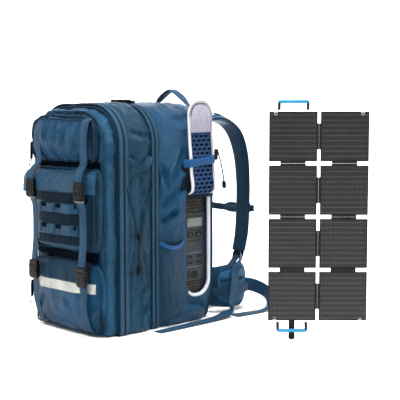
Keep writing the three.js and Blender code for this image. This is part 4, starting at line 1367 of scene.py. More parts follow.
def make_front_straps():
    for side, sign in SIDES:
        x = sign * STRAP_X
        tilt = sign * math.radians(6)
        across = (math.cos(tilt), math.sin(tilt), 0)
        for level, y, z in (("upper", -0.2565, 0.374), ("lower", -0.2505, 0.1575)):
            make_buckle(level, side, sign, y, z, 0.0)
        t = x if sign > 0 else x + 0.013
        upper = [(t, -0.2200, 0.5570), (t, -0.2310, 0.5500), (t, -0.2385, 0.5250), (t, -0.2415, 0.4900),
                 (t, -0.2395, 0.4560), (t, -0.2410, 0.4420), ((t + x) / 2, -0.2510, 0.4290),
                 (x, -0.2560, 0.4120),
                 (x, -0.2565, 0.3950)]
        strap = band(f"strap_upper_{side}_web", upper, across, WEBBING, 0.0020, "webbing", 70)
        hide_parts(f"strap_upper_{side}")
        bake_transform(strap, "pack", f"latch_upper_{side}", start=(x, -0.250, 0.430), end=(x, -0.2565, 0.397))
        middle = [(x, -0.2550, 0.3560), (x, -0.2520, 0.3440), (x, -0.2460, 0.3300), (x, -0.2440, 0.3000),
                  (x, -0.2440, 0.2500), (x, -0.2455, 0.2250), (x, -0.2485, 0.2000), (x, -0.2505, 0.1780)]
        strap = band(f"strap_middle_{side}_web", middle, across, WEBBING, 0.0020, "webbing", 70)
        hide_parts(f"strap_middle_{side}")
        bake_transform(strap, "pack", f"latch_lower_{side}", start=(x, -0.245, 0.225), end=(x, -0.2505, 0.180))
        on_cloth = [(x + sign * out, lower_front(x, z, gap), z) for out, z, gap in (
            (0, 0.1100, 0.0045), (0, 0.0800, 0.0050), (0.001, 0.0450, 0.0040), (0.004, 0.0200, 0.0022))]
        lower = [(x, -0.2495, 0.1430), (x, -0.2470, 0.1300), *on_cloth, (x + sign * 0.008, -0.2150, 0.0080)]
        strap = band(f"strap_lower_{side}", lower, across, WEBBING, 0.0020, "webbing", 50)
        put(strap, "pack")
        for level, z, y in (("upper", 0.3495, -0.2555), ("lower", 0.1330, -0.2495)):
            matrix = facing((x, y, z), across, Z)
            bar = plate(f"bar_{level}_{side}", [mm(rounded_loop(15.0, 1.8, 1.4))], 0.0036, 0.0012, matrix,
                        "bar_metal" if level == "upper" else "plastic")
            put(bar, "pack")


# ---------------------------------------------------------------- right side
def make_window():
    """Zip teeth and rim round the power bay; the binding shows white along its rear edge and foot."""
    loop = [Vector((BODY_HALF + 0.0012, y, z)) for y, z in window_loop(grow=0.0022, steps=12)]
    path = spread(loop, 180)
    front_side = [p for p in path if p.y > WINDOW["y0"] + 0.020 or p.z < WINDOW["bottom"] + 0.012]
    rim = tube("bay_piping", front_side, 0.0052, "white_tape", side=X)
    put(rim, "pack")
    rest = [p - X * 0.0004 for p in path if p not in front_side]
    edge = tube("bay_edge", [front_side[-1] - X * 0.0004, *rest], 0.0030, "piping", side=X)
    put(edge, "pack")
    inner = spread([Vector((BODY_HALF - 0.0012, y, z)) for y, z in window_loop(grow=-0.0018, steps=12)],
                   180)
    teeth = zip_teeth("bay_teeth", inner, X, 0.0036)
    put(teeth, "pack")
    outer = spread([Vector((BODY_HALF + 0.0006, y, z)) for y, z in window_loop(grow=0.0088, steps=12)], 180)
    welt = tube("bay_welt", outer, 0.0030, "shell", side=X)
    put(welt, "pack")
    # Dark padded sheet above the window, behind the folded cover.
    points = []
    for j in range(30):
        for i in range(14):
            y = 0.047 + 0.122 * i / 13
            z = 0.3400 + 0.092 * j / 29
            edge = min(i, 13 - i, 3) / 3 * min(29 - j, 4) / 4
            points.append(Vector((BODY_HALF + 0.0035 + 0.0045 * edge, y, z)))
    facing_pad = make_object("bay_facing", points, ring_faces(30, 14, closed=False), "bay_dark")
    modifier = facing_pad.modifiers.new("thick", "SOLIDIFY")
    modifier.thickness = 0.003
    bake(facing_pad)
    put(facing_pad, "pack")


def zip_teeth(name, path, sides, coil, pitch=0.0027):
    """A row of small teeth along a line."""
    frames = frames_along(path, sides)
    places, k = [], 0
    for n in range(int(frames[-1][3] / pitch)):
        want = (n + 0.5) * pitch
        while k < len(frames) - 2 and frames[k + 1][3] < want:
            k += 1
        a, b = frames[k], frames[k + 1]
        share = (want - a[3]) / max(b[3] - a[3], 1e-9)
        places.append((a[0].lerp(b[0], share) + a[2] * 0.0004, (b[0] - a[0]).normalized(), a[1], a[2]))
    return copies(name, pellet(coil, 0.0021, 0.0024), places, "port", smooth=True)


def honeycomb(name, y0, y1, z0, z1, x, cell, wall, depth, body):
    """A grille of hexagonal holes."""
    points, faces = [], []
    step_y, step_z = cell * math.sqrt(3), cell * 1.5
    rows = int((z1 - z0) / step_z)
    for row in range(rows + 1):
        z = z0 + row * step_z
        shift = step_y / 2 if row % 2 else 0
        for col in range(int((y1 - y0 - shift) / step_y) + 1):
            y = y0 + shift + col * step_y
            first = len(points)
            for radius, offset in ((cell, 0.0), (cell - wall, 0.0), (cell - wall, -depth), (cell, -depth)):
                for k in range(6):
                    angle = math.radians(60 * k + 30)
                    points.append(Vector((x + offset, y + radius * math.cos(angle),
                                          z + radius * math.sin(angle))))
            for ring in range(3):
                for k in range(6):
                    a, b = first + ring * 6 + k, first + ring * 6 + (k + 1) % 6
                    faces.append((a, b, b + 6, a + 6))
            for k in range(6):
                a, b = first + 18 + k, first + 18 + (k + 1) % 6
                faces.append((a, b, first + (k + 1) % 6, first + k))
    grille = make_object(name, points, faces, "vent", smooth=False)
    put(grille, body)


def make_station():
    for name in ("station_case", "station_fascia", "power_button", "ac_button", "station_usb_block"):
        paint(name, "case")
    paint("station_display", "screen")
    paint("station_ac_outlet", "case")
    paint("station_battery", "plastic")
    low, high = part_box("station_fascia")
    face = high.x
    centre = (low.y + high.y) / 2
    left, right = low.y + 0.004, high.y - 0.004
    honeycomb("vent_upper", left - 0.002, 0.1460, 0.3005, 0.3390, face + 0.0026, 0.0060, 0.0010, 0.0022,
              "pack")
    honeycomb("vent_lower", left + 0.006, right - 0.010, 0.0835, 0.1085, face + 0.0026, 0.0058, 0.0010,
              0.0022, "pack")
    trim = []

    def add(name, y, z, lift, outlines, thick, bevel, material):
        loops = [mm(rounded_loop(*outline)) for outline in outlines]
        matrix = facing((face + lift, y, z), Y, Z)
        trim.append(plate(name, loops, thick, bevel, matrix, material))

    add("vent_back_upper", centre, 0.3195, 0.0003, [(44, 20, 3)], 0.0010, 0.0003, "port")
    add("vent_back_lower", centre, 0.0960, 0.0003, [(34, 13.5, 3)], 0.0010, 0.0003, "port")
    add("display_glass", centre, 0.271, 0.0012, [(30, 11.6, 2)], 0.0008, 0.0002, "screen")
    add("display_bezel", centre, 0.271, 0.0004, [(33, 16, 4), (28.6, 12.6, 2)], 0.0024, 0.0006, "case")
    add("control_panel", centre, 0.2350, 0.0004, [(38, 15, 3), (37, 14, 2.5)], 0.0012, 0.0004, "grille")
    for y in (centre - 0.016, centre + 0.016):
        add("button_ring", y, 0.236, 0.0008, [(10.4, 7.4, 6), (8.6, 5.6, 5)], 0.0014, 0.0004, "port")
    for i in range(2):
        for j in range(2):
            y, z = centre - 0.0165 + 0.033 * i, 0.1600 + 0.0160 * j
            add("usb_frame", y, z, 0.0014, [(11, 5.8, 1.5), (8.6, 3.7, 1)], 0.0022, 0.0005, "case")
            add("usb_hole", y, z, 0.0012, [(8.4, 3.5, 1)], 0.0010, 0.0002, "port")
    for z in (0.1865, 0.1475):
        add("port_rule", centre, z, 0.0004, [(30, 0.5, 0.3)], 0.0008, 0.0002, "screen")
    y = centre - 0.004
    add("outlet_ring", y, 0.127, 0.0016, [(19.0, 13.5, 6), (15.0, 11.2, 7)], 0.0030, 0.0008, "case")
    pins = [(1.1, 3.2, 0.6, (-5.5, 1)), (1.1, 3.2, 0.6, (5.5, 1)), (2, 2, 1.9, (0, -5.4))]
    add("outlet_face", y, 0.127, 0.0016, [(15.0, 11.0, 7), *pins], 0.0016, 0.0004, "port")
    made = join("station_trim", *trim)
    put(made, "pack")


def cover_profile(share, thick=0.0):
    """x of the folded-up cover's outer face; share is 0 at its hinge and 1 at its top."""
    z = COVER["hinge"] + (COVER["top"] - COVER["hinge"]) * share
    bulge = 0.0108 * math.exp(-(((share
                                  - 0.09) / 0.13) ** 2)) + 0.006 * math.exp(-(((share - 0.34) / 0.20) ** 2))
    curl = -0.0130 * math.exp(-((share / 0.032) ** 2))
    return Vector((0.1680 + bulge + curl + thick - 0.003 * share, 0, z))


def cover_grid(name, y0, y1, share0, share1, thick, lift, material, rounded=0.0, nu=18, nv=60, puffed=0.0):
    """A patch of the cover between two y and two shares, lifted off its face."""
    layers = []
    for layer in (lift, lift + thick):
        points = []
        for j in range(nv + 1):
            share = share0 + (share1 - share0) * j / nv
            z = COVER["hinge"] + (COVER["top"] - COVER["hinge"]) * share
            left, right = y0, y1
            if rounded:
                rise = z - (COVER["hinge"] + (COVER["top"] - COVER["hinge"]) * share1 - rounded)
                if rise > 0:
                    pull = rounded - math.sqrt(max(rounded**2 - rise**2, 0))
                    left, right = y0 + pull, y1 - pull
            for i in range(nu + 1):
                u = i / nu
                edge = (4 * u * (1 - u)) ** 0.5 * (4 * (j / nv) * (1 - j / nv)) ** 0.5
                base = cover_profile(share)
                extra = layer + (puffed * edge if layer > lift else 0)
                points.append(Vector((base.x + extra, left + (right - left) * u, base.z)))
        layers.append(points)
    return make_object(name, *closed_sheet(layers, nu + 1), material)


def cover_edge(inset, lift, share0=0.0):
    """A line round the cover at some inset from its edge, from the lower rear corner over the top."""
    middle, half = COVER["y"], COVER["half"] - inset
    top = COVER["top"] - inset
    radius = 0.040 - inset
    z0 = COVER["hinge"] + share0 * (COVER["top"] - COVER["hinge"])
    flat = [(middle - half, z0 + (top - radius - z0) * i / 30) for i in range(31)]
    for cy, start in ((middle - half + radius, 180), (middle + half - radius, 90)):
        for i in range(1, 13):
            angle = math.radians(start - 90 * i / 12)
            flat.append((cy + radius * math.cos(angle), top - radius + radius * math.sin(angle)))
    flat += [(middle + half, top - radius + (z0 - top + radius) * i / 30) for i in range(1, 31)]
    span = COVER["top"] - COVER["hinge"]
    return [Vector((cover_profile((z - COVER["hinge"]) / span).x + lift, y, z)) for y, z in flat]


def make_cover():
    middle, half = COVER["y"], COVER["half"]
    base = cover_grid("cover_cloth", middle - half, middle + half, 0.0, 1.0, 0.0042, -0.0042, "white_tape",
                      rounded=0.040, nv=90)
    put(base, "port_cover", "port_cover")
    lining = cover_grid("cover_lining", middle - half + 0.0078, middle + half - 0.0078, 0.668, 0.965,
                        0.0014, 0.0003,
                        "lining", rounded=0.032, nu=24, nv=40, puffed=0.0045)
    wrinkle(lining, 0.0018, (30, 40, 34), 4, lambda p: 1.0 if p.x > 0.1702 else 0.0)
    put(lining, "port_cover")
    make_cover_molle(middle + 0.0006, half - 0.0078)
    edge = spread(cover_edge(0.0012, -0.0005, 0.02), 200)
    piping = tube("cover_piping", edge, 0.0026, "white_tape", side=X)
    put(piping, "port_cover")
    # Zip teeth round the top of the cover and down its rear edge.
    for name, inset in (("cover_teeth_outer", 0.0016), ("cover_teeth_inner", 0.0085)):
        line = [p for p in spread(cover_edge(inset, 0.0018, 0.02),
                                  260) if p.z > 0.560 or (p.y > middle and p.z > 0.40)]
        teeth = zip_teeth(name, line, X, 0.0048, pitch=0.0052)
        put(teeth, "port_cover")
    # The strap that holds the cover up.
    x = 0.1770
    points = [(x - 0.0165, 0.0555, 0.4345), (x - 0.0080, 0.0600, 0.4350), (x - 0.0005, 0.0670, 0.4355),
              (x + 0.0005, 0.0950, 0.4375), (x + 0.0005, 0.1250, 0.4400), (x - 0.001, 0.1540, 0.4430),
              (x - 0.007, 0.1660, 0.4445)]
    strap = band("cover_strap", points, (0, 0, 1), 0.022, 0.0022, "webbing_bright", 60)
    put(strap, "port_cover", "port_cover_strap")
    lock = plate("cover_strap_lock", [mm(rounded_loop(5, 14, 2)), mm(rounded_loop(1.6, 10.5, 1))],
                 0.0040, 0.0012, facing((x - 0.0045, 0.1690, 0.4560), Y, Z), "plastic")
    put(lock, "port_cover")


def make_cover_molle(middle, half):
    """Laser-cut panel: rows of short slots, staggered, over a dark backing."""
    span = COVER["top"] - COVER["hinge"]
    share0, share1 = 0.004, 0.664
    back = cover_grid("cover_slots", middle - half, middle + half, share0, share1, 0.0008, 0.0002, "slot")
    put(back, "port_cover")
    pitch, slot_high = 0.0116, 0.0062
    rows = int((share1 - share0) * span / pitch)
    points, faces = [], []

    def strip(y0, y1, z0, z1):
        """One web between slots, as a thin curved plate."""
        first = len(points)
        steps = 3
        for k in range(steps + 1):
            z = z0 + (z1 - z0) * k / steps
            x = cover_profile((z - COVER["hinge"]) / span).x + 0.0010
            for y, lift in ((y0, 0.0), (y0 + 0.0006, 0.0010), (y1 - 0.0006, 0.0010), (y1, 0.0)):
                points.append(Vector((x + lift, y, z)))
        faces.extend(ring_faces(steps + 1, 4, first=first))
        faces.append((first, first + 1, first + 2, first + 3))
        last = first + steps * 4
        faces.append((last + 3, last + 2, last + 1, last))

    base_z = COVER["hinge"] + share0 * span
    for row in range(rows + 1):
        z = base_z + row * pitch
        top = min(z + pitch - slot_high, COVER["hinge"] + share1 * span)
        strip(middle - half, middle + half, z, top)
        if row == rows:
            break
        width = 2 * half / 4
        shift = width / 2 if row % 2 else 0.0
        for k in range(6):
            centre = middle - half + k * width + shift
            low, high = max(centre - 0.0030, middle - half), min(centre + 0.0030, middle + half)
            if high - low > 0.001:
                strip(low, high, top, z + pitch)
    panel = make_object("cover_molle", points, faces, "molle", smooth=False)
    put(panel, "port_cover")


def bottle_hem(u):
    """Height of the bottle pocket's mouth: it sags between its ends."""
    return 0.236 - 0.020 * math.sin(math.pi * min(max(u * 0.92, 0), 1)) ** 0.8 + 0.004 * u


def make_bottle_pockets():
    rows, cols = 40, 34
    shape = lambda u: 1 - abs(2 * u - 1) ** 2.6
    for side, sign in SIDES:
        layers = []
        for layer in (0.0, 0.0016):
            points = []
            for j in range(rows + 1):
                share = j / rows
                bulge = 0.019 * min(1, (share * 4) ** 0.6) * (1 - 0.30 * share)
                for i in range(cols + 1):
                    u = i / cols
                    z = 0.020 + (bottle_hem(u) - 0.020) * share
                    x = BODY_HALF + 0.0010 + max(bulge * shape(u) - layer, 0.0)
                    points.append(Vector((sign * x, -0.036 + 0.090 * u, z)))
            layers.append(points)
        pouch = make_object(f"bottle_pouch_{side}", *closed_sheet(layers, cols + 1), "pouch")
        off_floor = lambda p: min((p.z - 0.02) / 0.05, 1) if p.z > 0.02 else 0
        wrinkle(pouch, 0.0026, (20, 34, 13), 9 + sign, off_floor)
        put(pouch, "pack", f"bottle_pocket_{side}")
        hem = []
        for i in range(41):
            u = i / 40
            hem.append(Vector((sign * (BODY_HALF + 0.0022 + 0.0133 * shape(u)), -0.036 + 0.090 * u,
                               bottle_hem(u) - 0.006)))
        elastic = sweep(f"bottle_hem_{side}", hem, Z, band_profile(0.010, 0.0030, rise=0.0004),
                        "webbing_bright")
        put(elastic, "pack")


# ---------------------------------------------------------------- zip sliders, handle, top
def make_sliders():
    for name, node, body, origin, right, pull in (
        ("side_slider", "side_zip_slider", "side_zip", Vector((BODY_HALF + 0.0045, -0.112, 0.252)), Y, 14),
        ("lower_slider", "lower_zip_slider", "lower_zip", Vector((-0.1445, -0.222, 0.110)), -Y, 30),
        ("top_slider", "top_zip_slider", "top_zip", Vector((-0.1375, -0.222, 0.486)), -Y, 30),
    ):
        body_plate = plate(name + "_body",
                           [mm([(-3.2, -7), (3.2, -7), (5, 0), (4.2, 7), (-4.2, 7), (-5, 0)])],
                           0.0040, 0.0012, facing(origin, right, Z), "port")
        out = Vector(right).cross(Z)
        bridge = plate(name + "_bridge", [mm(rounded_loop(1.6, 5, 1.2))], 0.0044, 0.0010,
                       facing(origin + out * 0.0025, right, Z), "port")
        tab = plate(name + "_tab", [mm(rounded_loop(3.6, pull / 2 + 3, 2)),
                                    mm(rounded_loop(1.7, 2.4, 1.2, (0, pull / 2 - 2)))],
                    0.0018, 0.0006, facing(origin + out * 0.0042 - Z * (pull / 2000 + 0.0045), right, Z),
                    "port")
        parts = [body_plate, bridge, tab]
        if name != "side_slider":
            drop = origin + out * 0.0050 - Z * (pull / 1000 + 0.002)
            loop = smooth_path([drop, drop + out * 0.004 - Z * 0.010 + Y * 0.003,
                                drop + out * 0.005 - Z * 0.024 + Y * 0.001,
                                drop + out * 0.004 - Z * 0.024 - Y * 0.004,
                                drop + out * 0.004 - Z * 0.010 - Y * 0.003,
                                drop + out * 0.0002 - Z * 0.0005], 36)
            parts.append(tube(name + "_loop", loop, 0.0012, "cord"))
        made = join(name, *parts)
        put(made, body, node)


def make_handle():
    half, pivot, rise, y = 0.055, 0.600, 0.034, 0.168
    points, widths = [], []
    for i in range(61):
        u = -1 + i / 30
        height = rise * (1 - (abs(u) ** 1.3 * 0.90 + abs(u) ** 6 * 0.10))
        points.append(Vector((half * u, y, pivot + height)))
        widths.append(0.52 + 0.48 * (1 - abs(u) ** 7))
    strap = sweep("carry_handle_web", points, Y, band_profile(0.031, 0.0048, rise=0.0010), "webbing",
                  widths=widths)
    put(strap, "carry_handle", "carry_handle")
    for side, sign in SIDES:
        root = [(sign * 0.0565, y, 0.6015), (sign * 0.0600, y, 0.5960), (sign * 0.0680, y - 0.001, 0.5925),
                (sign * 0.0820, y - 0.002, 0.5895)]
        tab = band(f"handle_root_{side}", root, (0, 1, 0), 0.020, 0.0024, "webbing", 16)
        put(tab, "pack")


def make_top_buckle():
    top = BODY_TOP + 0.0004
    socket = mm([(-14, -22), (14, -22), (18, -17), (18, 4), (15.5, 6), (15.5, 10), (18, 12),
                 (-18, 12), (-15.5, 10), (-15.5, 6), (-18, 4), (-18, -17)])
    body = plate("top_buckle_body", [socket], 0.0140, 0.0022, facing((0, -0.025, top + 0.0070), X, Y),
                 "plastic")
    tongue = mm([(-17, 12.6), (17, 12.6), (18, 22), (15, 34), (-15, 34), (-18, 22)])
    window = mm([(-12, 20), (12, 20), (12, 23), (-12, 23)])
    latch = plate("top_buckle_latch", [tongue, window], 0.0110, 0.0018,
                  facing((0, -0.025, top + 0.0060), X, Y), "plastic")
    made = join("top_buckle_set", body, latch)
    put(made, "pack", "top_buckle")
    for name, points in (
        ("top_strap_front", [(0, -0.040, top + 0.006), (0, -0.056, top + 0.002), (0, -0.090, top + 0.0012),
                             (0, -0.140, top + 0.0006), (0, -0.172, top - 0.002)]),
        ("top_strap_rear", [(0, 0.008, top + 0.005), (0, 0.026, top + 0.0022), (0, 0.060, top + 0.0040),
                            (0, 0.090, top + 0.0035), (0, 0.122, top + 0.0005)]),
    ):
        strap = band(name, points, (1, 0, 0), 0.024, 0.0018, "webbing", 30)
        put(strap, "pack")


# ---------------------------------------------------------------- wearer's side
def strap_section(width, thick, count=20, power=2.6):
    """A foam strap's section: full in the middle, pinched at its bound edges."""
    points = []
    for i in range(count):
        angle = 2 * math.pi * i / count
        c, s = math.cos(angle), math.sin(angle)
        a = width / 2 * math.copysign(abs(c) ** (2 / power), c)
        b = thick / 2 * math.copysign(abs(s) ** (2 / power), s)
        points.append((a, b))
    return points


def make_back():
    """Back padding in three channelled columns."""
    spec = dict(half=0.118, bottom=0.030, top=0.505, low=0.030, high=0.040)
    rows, cols = 96, 60
    points = []
    for j in range(rows + 1):
        z = spec["bottom"] + (spec["top"] - spec["bottom"]) * j / rows
        for i in range(cols + 1):
            x = -spec["half"] + 2 * spec["half"] * i / cols
            depth = inset_at(spec, x, z)
            fall = min(max(depth, 0) / 0.016, 1) ** 0.5
            column = min(abs(abs(x) - 0.042) / 0.007, 1)
            bars = [0.135, 0.255, 0.375]
            across = min(min(abs(z - bar) for bar in bars) / 0.006, 1)
            groove = 1 - 0.62 * (1 - column**0.7) - 0.45 * (1 - across**0.7) * (column > 0.3)
            if depth < 0:
                points.append(Vector((x * (1 + depth / 0.04), BACK_Y + 0.0006, z)))
            else:
                points.append(Vector((x, BACK_Y + 0.0006 + 0.0145 * fall * groove, z)))
    faces = ring_faces(rows + 1, cols + 1, closed=False)
    pad = make_object("back_padding", points, faces, "mesh")
    modifier = pad.modifiers.new("thick", "SOLIDIFY")
    modifier.thickness = 0.0012
    bake(pad)
    put(pad, "pack", "back_pad")
    path = arch(spec, BACK_Y + 0.0015, inset=0.001, start=0.0, end=1.0, count=200)
    line = sweep("back_pad_binding", path, Y, circle(0.0028, 8), "piping")
    put(line, "pack")


PAD_PATH = [(0.180, 0.534), (0.230, 0.552), (0.288, 0.549), (0.346, 0.516), (0.379, 0.452), (0.391, 0.370),
            (0.391, 0.290), (0.386, 0.215), (0.372, 0.158)]


def make_shoulder_straps():
    for side, sign in SIDES:
        x = sign * 0.076
        path = smooth_path([(x, y, z) for y, z in PAD_PATH], 90)
        widths = [0.98 - 0.20 * min(max(i - 22, 0) / 34, 1) - 0.06 * max((i - 78) / 11, 0)
                  for i in range(90)]
        pad = sweep(f"shoulder_pad_{side}", path, X, strap_section(0.062, 0.0155), "pad", widths=widths)
        put(pad, "pack", f"shoulder_strap_{side}")
        frames = frames_along(path, X)
        for edge, s in (("outer", 1), ("inner", -1)):
            line = [f[0] + f[1] * (s * 0.0305 * w) for f, w in zip(frames, widths)]
            binding = tube(f"shoulder_binding_{edge}_{side}", line, 0.0026, "piping", side=X)
            put(binding, "pack")
        face_sign = 1 if frames[30][2].y > 0 else -1
        ladder = []
        for i, f in enumerate(frames[10:86]):
            lift = 0.0088 + 0.0014 * abs(math.sin(i * math.pi / 11))
            ladder.append(f[0] + f[2] * (face_sign * lift))
        web = sweep(f"shoulder_ladder_{side}", ladder, X, band_profile(0.026, 0.0018), "webbing")
        put(web, "pack")
        # The upper part is covered in the pack's own cloth, pulled back to the body by a load strap.
        cover = sweep(f"shoulder_yoke_{side}", path[:22], X, strap_section(0.064, 0.0180), "shell",
                      widths=widths[:22])
        put(cover, "pack")
        load = [(x, 0.306, 0.5550), (x, 0.264, 0.5680), (x, 0.215, 0.5650), (x, 0.176, 0.5720)]
        web = band(f"load_strap_{side}", load, (1, 0, 0), 0.020, 0.0018, "webbing", 30)
        put(web, "pack")
        tail = [(x, 0.3720, 0.1580), (x, 0.3670, 0.1460), (x, 0.3360, 0.1180), (x, 0.2700, 0.0840),
                (x, 0.2150, 0.0680), (x, 0.1790, 0.0600)]
        web = band(f"shoulder_tail_{side}", tail, (1, 0, 0), 0.025, 0.0020, "webbing", 40)
        put(web, "pack", f"shoulder_webbing_{side}")
        lock = plate(f"shoulder_adjuster_{side}",
                     [mm([(-17, -15), (17, -15), (19, -4), (16, 14), (-16, 14), (-19, -4)]),
                      mm(rounded_loop(12.8, 1.8, 1, (0, -9))), mm(rounded_loop(12.8, 1.8, 1, (0, 1))),
                      mm(rounded_loop(12.8, 1.6, 1, (0, 8.5)))],
                     0.0050, 0.0014, facing((x, 0.3720, 0.1500), X, Vector((0, 0.40, 0.91))), "plastic")
        put(lock, "pack")


def make_stabilisers():
    """Short straps from the shoulder adjusters to the hip wings."""
    for side, sign in SIDES:
        run = [(sign * 0.088, 0.3710, 0.1500), (sign * 0.112, 0.3430, 0.1460),
               (sign * 0.138, 0.3000, 0.1400),
               (sign * 0.1560, 0.2700, 0.1280), (sign * 0.1600, 0.2620, 0.1170)]
        points = smooth_path(run, 40)
        sides = spread_vectors([(sign * 0.3, 0.2, -0.93), (sign * 0.2, -0.1, -0.97), (0, -0.5, -0.8),
                                (0, -0.9, -0.3),
                                (0, -1, 0)], 40)
        strap = sweep(f"hip_stabiliser_{side}", points, sides, band_profile(0.025, 0.0018), "webbing")
        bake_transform(strap, "pack", f"hip_wing_{side}", start=(sign * 0.095, 0.362, 0.149),
                 end=(sign * 0.155, 0.272, 0.129))


def make_sternum():
    z, y = 0.284, 0.4095
    points = []
    for i in range(61):
        u = -1 + i / 30
        sag = 0.004 * (1 - u * u)
        points.append(Vector((0.104 * u, y + 0.0015 * (1 - u * u), z - sag)))
    web = sweep("sternum_web", points, Z, band_profile(0.020, 0.0018), "webbing")
    put(web, "sternum_strap", "sternum_webbing")
    face = facing((0.010, y + 0.0060, z - 0.003), -X, Z)
    parts = [
        plate("sternum_socket", [mm([(-24, -12), (-8, -14), (-2, -14), (2, -10), (6, -14), (8, -14),
                                     (8, 14), (6, 14),
                                     (2, 10), (-2, 14), (-8, 14), (-24, 12)])], 0.0090, 0.0016, face,
              "plastic"),
        plate("sternum_latch", [mm([(8.6, -13), (20, -11), (24, -9), (24, 9), (20, 11), (8.6, 13)]),
                                mm([(17, -8), (19.4, -8), (19.4, 8), (17, 8)])], 0.0074, 0.0014, face,
              "plastic"),
    ]
    made = join("sternum_clip", *parts)
    put(made, "sternum_strap", "sternum_buckle")
    for side, sign in SIDES:
        ring = plate(f"sternum_slide_{side}",
                     [mm(rounded_loop(9, 14, 3)), mm(rounded_loop(2, 10.5, 1, (-4, 0))),
                      mm(rounded_loop(2, 10.5, 1, (4, 0)))], 0.0040, 0.0012,
                     facing((sign * 0.078, y + 0.0022, z), -X, Z), "plastic")
        put(ring, "sternum_strap")


WING_PATH = [(0.110, 0.206), (0.130, 0.226), (0.142, 0.262), (0.137, 0.305), (0.121, 0.337)]


def make_wings():
    for side, sign in SIDES:
        path = smooth_path([(sign * x, y, 0.074) for x, y in WING_PATH], 46)
        widths = [0.86 + 0.16 * math.sin(math.pi * min(i / 30, 1) * 0.5) - 0.34 * max((i - 34) / 11, 0) ** 2
                  for i in range(46)]
        wing = sweep(f"hip_pad_{side}", path, Z, strap_section(0.122, 0.0215, count=28, power=3.4), "pad",
                     widths=widths)
        wrinkle(wing, 0.0014, (26, 26, 16), 14 + sign)
        put(wing, f"hip_wing_{side}", f"hip_wing_{side}")
        frames = frames_along(path, Z)
        out = 1 if frames[20][2].x * sign > 0 else -1
        for edge, s in (("upper", 1), ("lower", -1)):
            line = [f[0] + f[1] * (s * 0.0605 * w) for f, w in zip(frames, widths)]
            binding = tube(f"hip_binding_{edge}_{side}", line, 0.0026, "piping", side=Z)
            put(binding, f"hip_wing_{side}")
        # Zipped pocket on the outer face, in a lighter blue that is painted light.
        pocket = sweep(f"hip_pocket_{side}", [f[0] + f[2] * (out * 0.0095) for f in frames[7:37]], Z,
                       strap_section(0.098, 0.0130, count=24, power=3.6), "wing",
                       widths=[min(1, 0.55 + 0.45 * math.sin(math.pi * i / 29) ** 0.35) for i in range(30)])
        wrinkle(pocket, 0.0014, (26, 26, 22), 20 + sign)
        put(pocket, f"hip_wing_{side}")
        line = [f[0] + f[2] * (out * 0.0163) + Z * 0.020 for f in frames[9:35]]
        zip_line(f"hip_pocket_zip_{side}", line, Z, 0.010, f"hip_wing_{side}", piping=0.0010, coil=0.0034)
        strap = sweep(f"hip_strap_{side}", [f[0] + f[2] * (out * 0.0185) - Z * 0.012 for f in frames[4:44]],
                      Z,
                      band_profile(0.025, 0.0020), "webbing")
        put(strap, f"hip_wing_{side}")
        # Padding from the wing's root into the back panel.
        inward = [(sign * x, y, 0.074)
                  for x, y in ((0.070, 0.1835), (0.092, 0.188), (0.108, 0.200), (0.116, 0.212))]
        root = sweep(f"hip_root_{side}", smooth_path(inward, 16), Z,
                     strap_section(0.104, 0.0160, count=24, power=3.2), "pad")
        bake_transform(root, "pack", f"hip_wing_{side}", start=(sign * 0.098, 0.188, 0.074),
                 end=(sign * 0.114, 0.206, 0.074))


# ---------------------------------------------------------------- folding solar panel
def panel_matrix():
    return Matrix.Translation(PANEL_AT) @ Matrix.Rotation(PANEL_TURN, 4, "Z")


def on_panel(x, z, lift):
    """A matrix that stands a plate up in the panel's plane, lift behind its middle."""
    return panel_matrix() @ Matrix.Translation((x, lift, z)) @ Matrix.Rotation(math.pi / 2, 4, "X")


def row_base(row):
    return (4 - row) * (TILE["height"] + TILE["row_gap"])


def column_centre(sign):
    return sign * (TILE["width"] + TILE["column_gap"]) / 2


def make_tiles():
    turn = panel_matrix()
    for row in range(1, 5):
        for side, sign in SIDES:
            node = f"solar_tile_{row}_{side}"
            body = f"tile_{row}_{side}"
            paint(node, "solar_back")
            cx, cz = column_centre(sign), row_base(row) + TILE["height"] / 2
            film = plate(f"film_{row}_{side}", [mm(rounded_loop(56.6, 59.0, 2.0))], 0.0008, 0.0003,
                         on_panel(cx, cz, -0.0022), "solar_film")
            put(film, body)
            steps = [-1 + 2 * i / 30 for i in range(30)]
            hem = [(t, -1) for t in steps] + [(1, t) for t in steps]
            hem += [(-t, 1) for t in steps] + [(-1, -t) for t in steps] + [(-1, -1)]
            hem = [Vector((cx + u * 0.0584, -0.0021, cz + v * 0.0606)) for u, v in hem]
            path = [turn @ p for p in hem]
            thread = stitches(f"tile_stitch_{row}_{side}", path, turn.to_3x3() @ Y, "solar_back",
                              pitch=0.0042, lift=0.0)
            put(thread, body)
            rear = plate(f"tile_back_{row}_{side}", [mm(rounded_loop(56, 58, 3))], 0.0010, 0.0003,
                         on_panel(cx, cz, 0.0024), "bay_dark")
            put(rear, body)
            if row in (1, 4):
                z = row_base(row) + (TILE["height"] - 0.005 if row == 1 else 0.005)
                turns = [2 * math.pi * i / 24 for i in range(24)]
                ring, hole = (mm([(r * math.cos(a), r * math.sin(a)) for a in turns]) for r in (4.6, 2.5))
                eyelet = plate(f"eyelet_{row}_{side}", [ring, hole], 0.0052, 0.0010,
                               on_panel(cx + sign * 0.044, z, 0), "metal")
                put(eyelet, body)


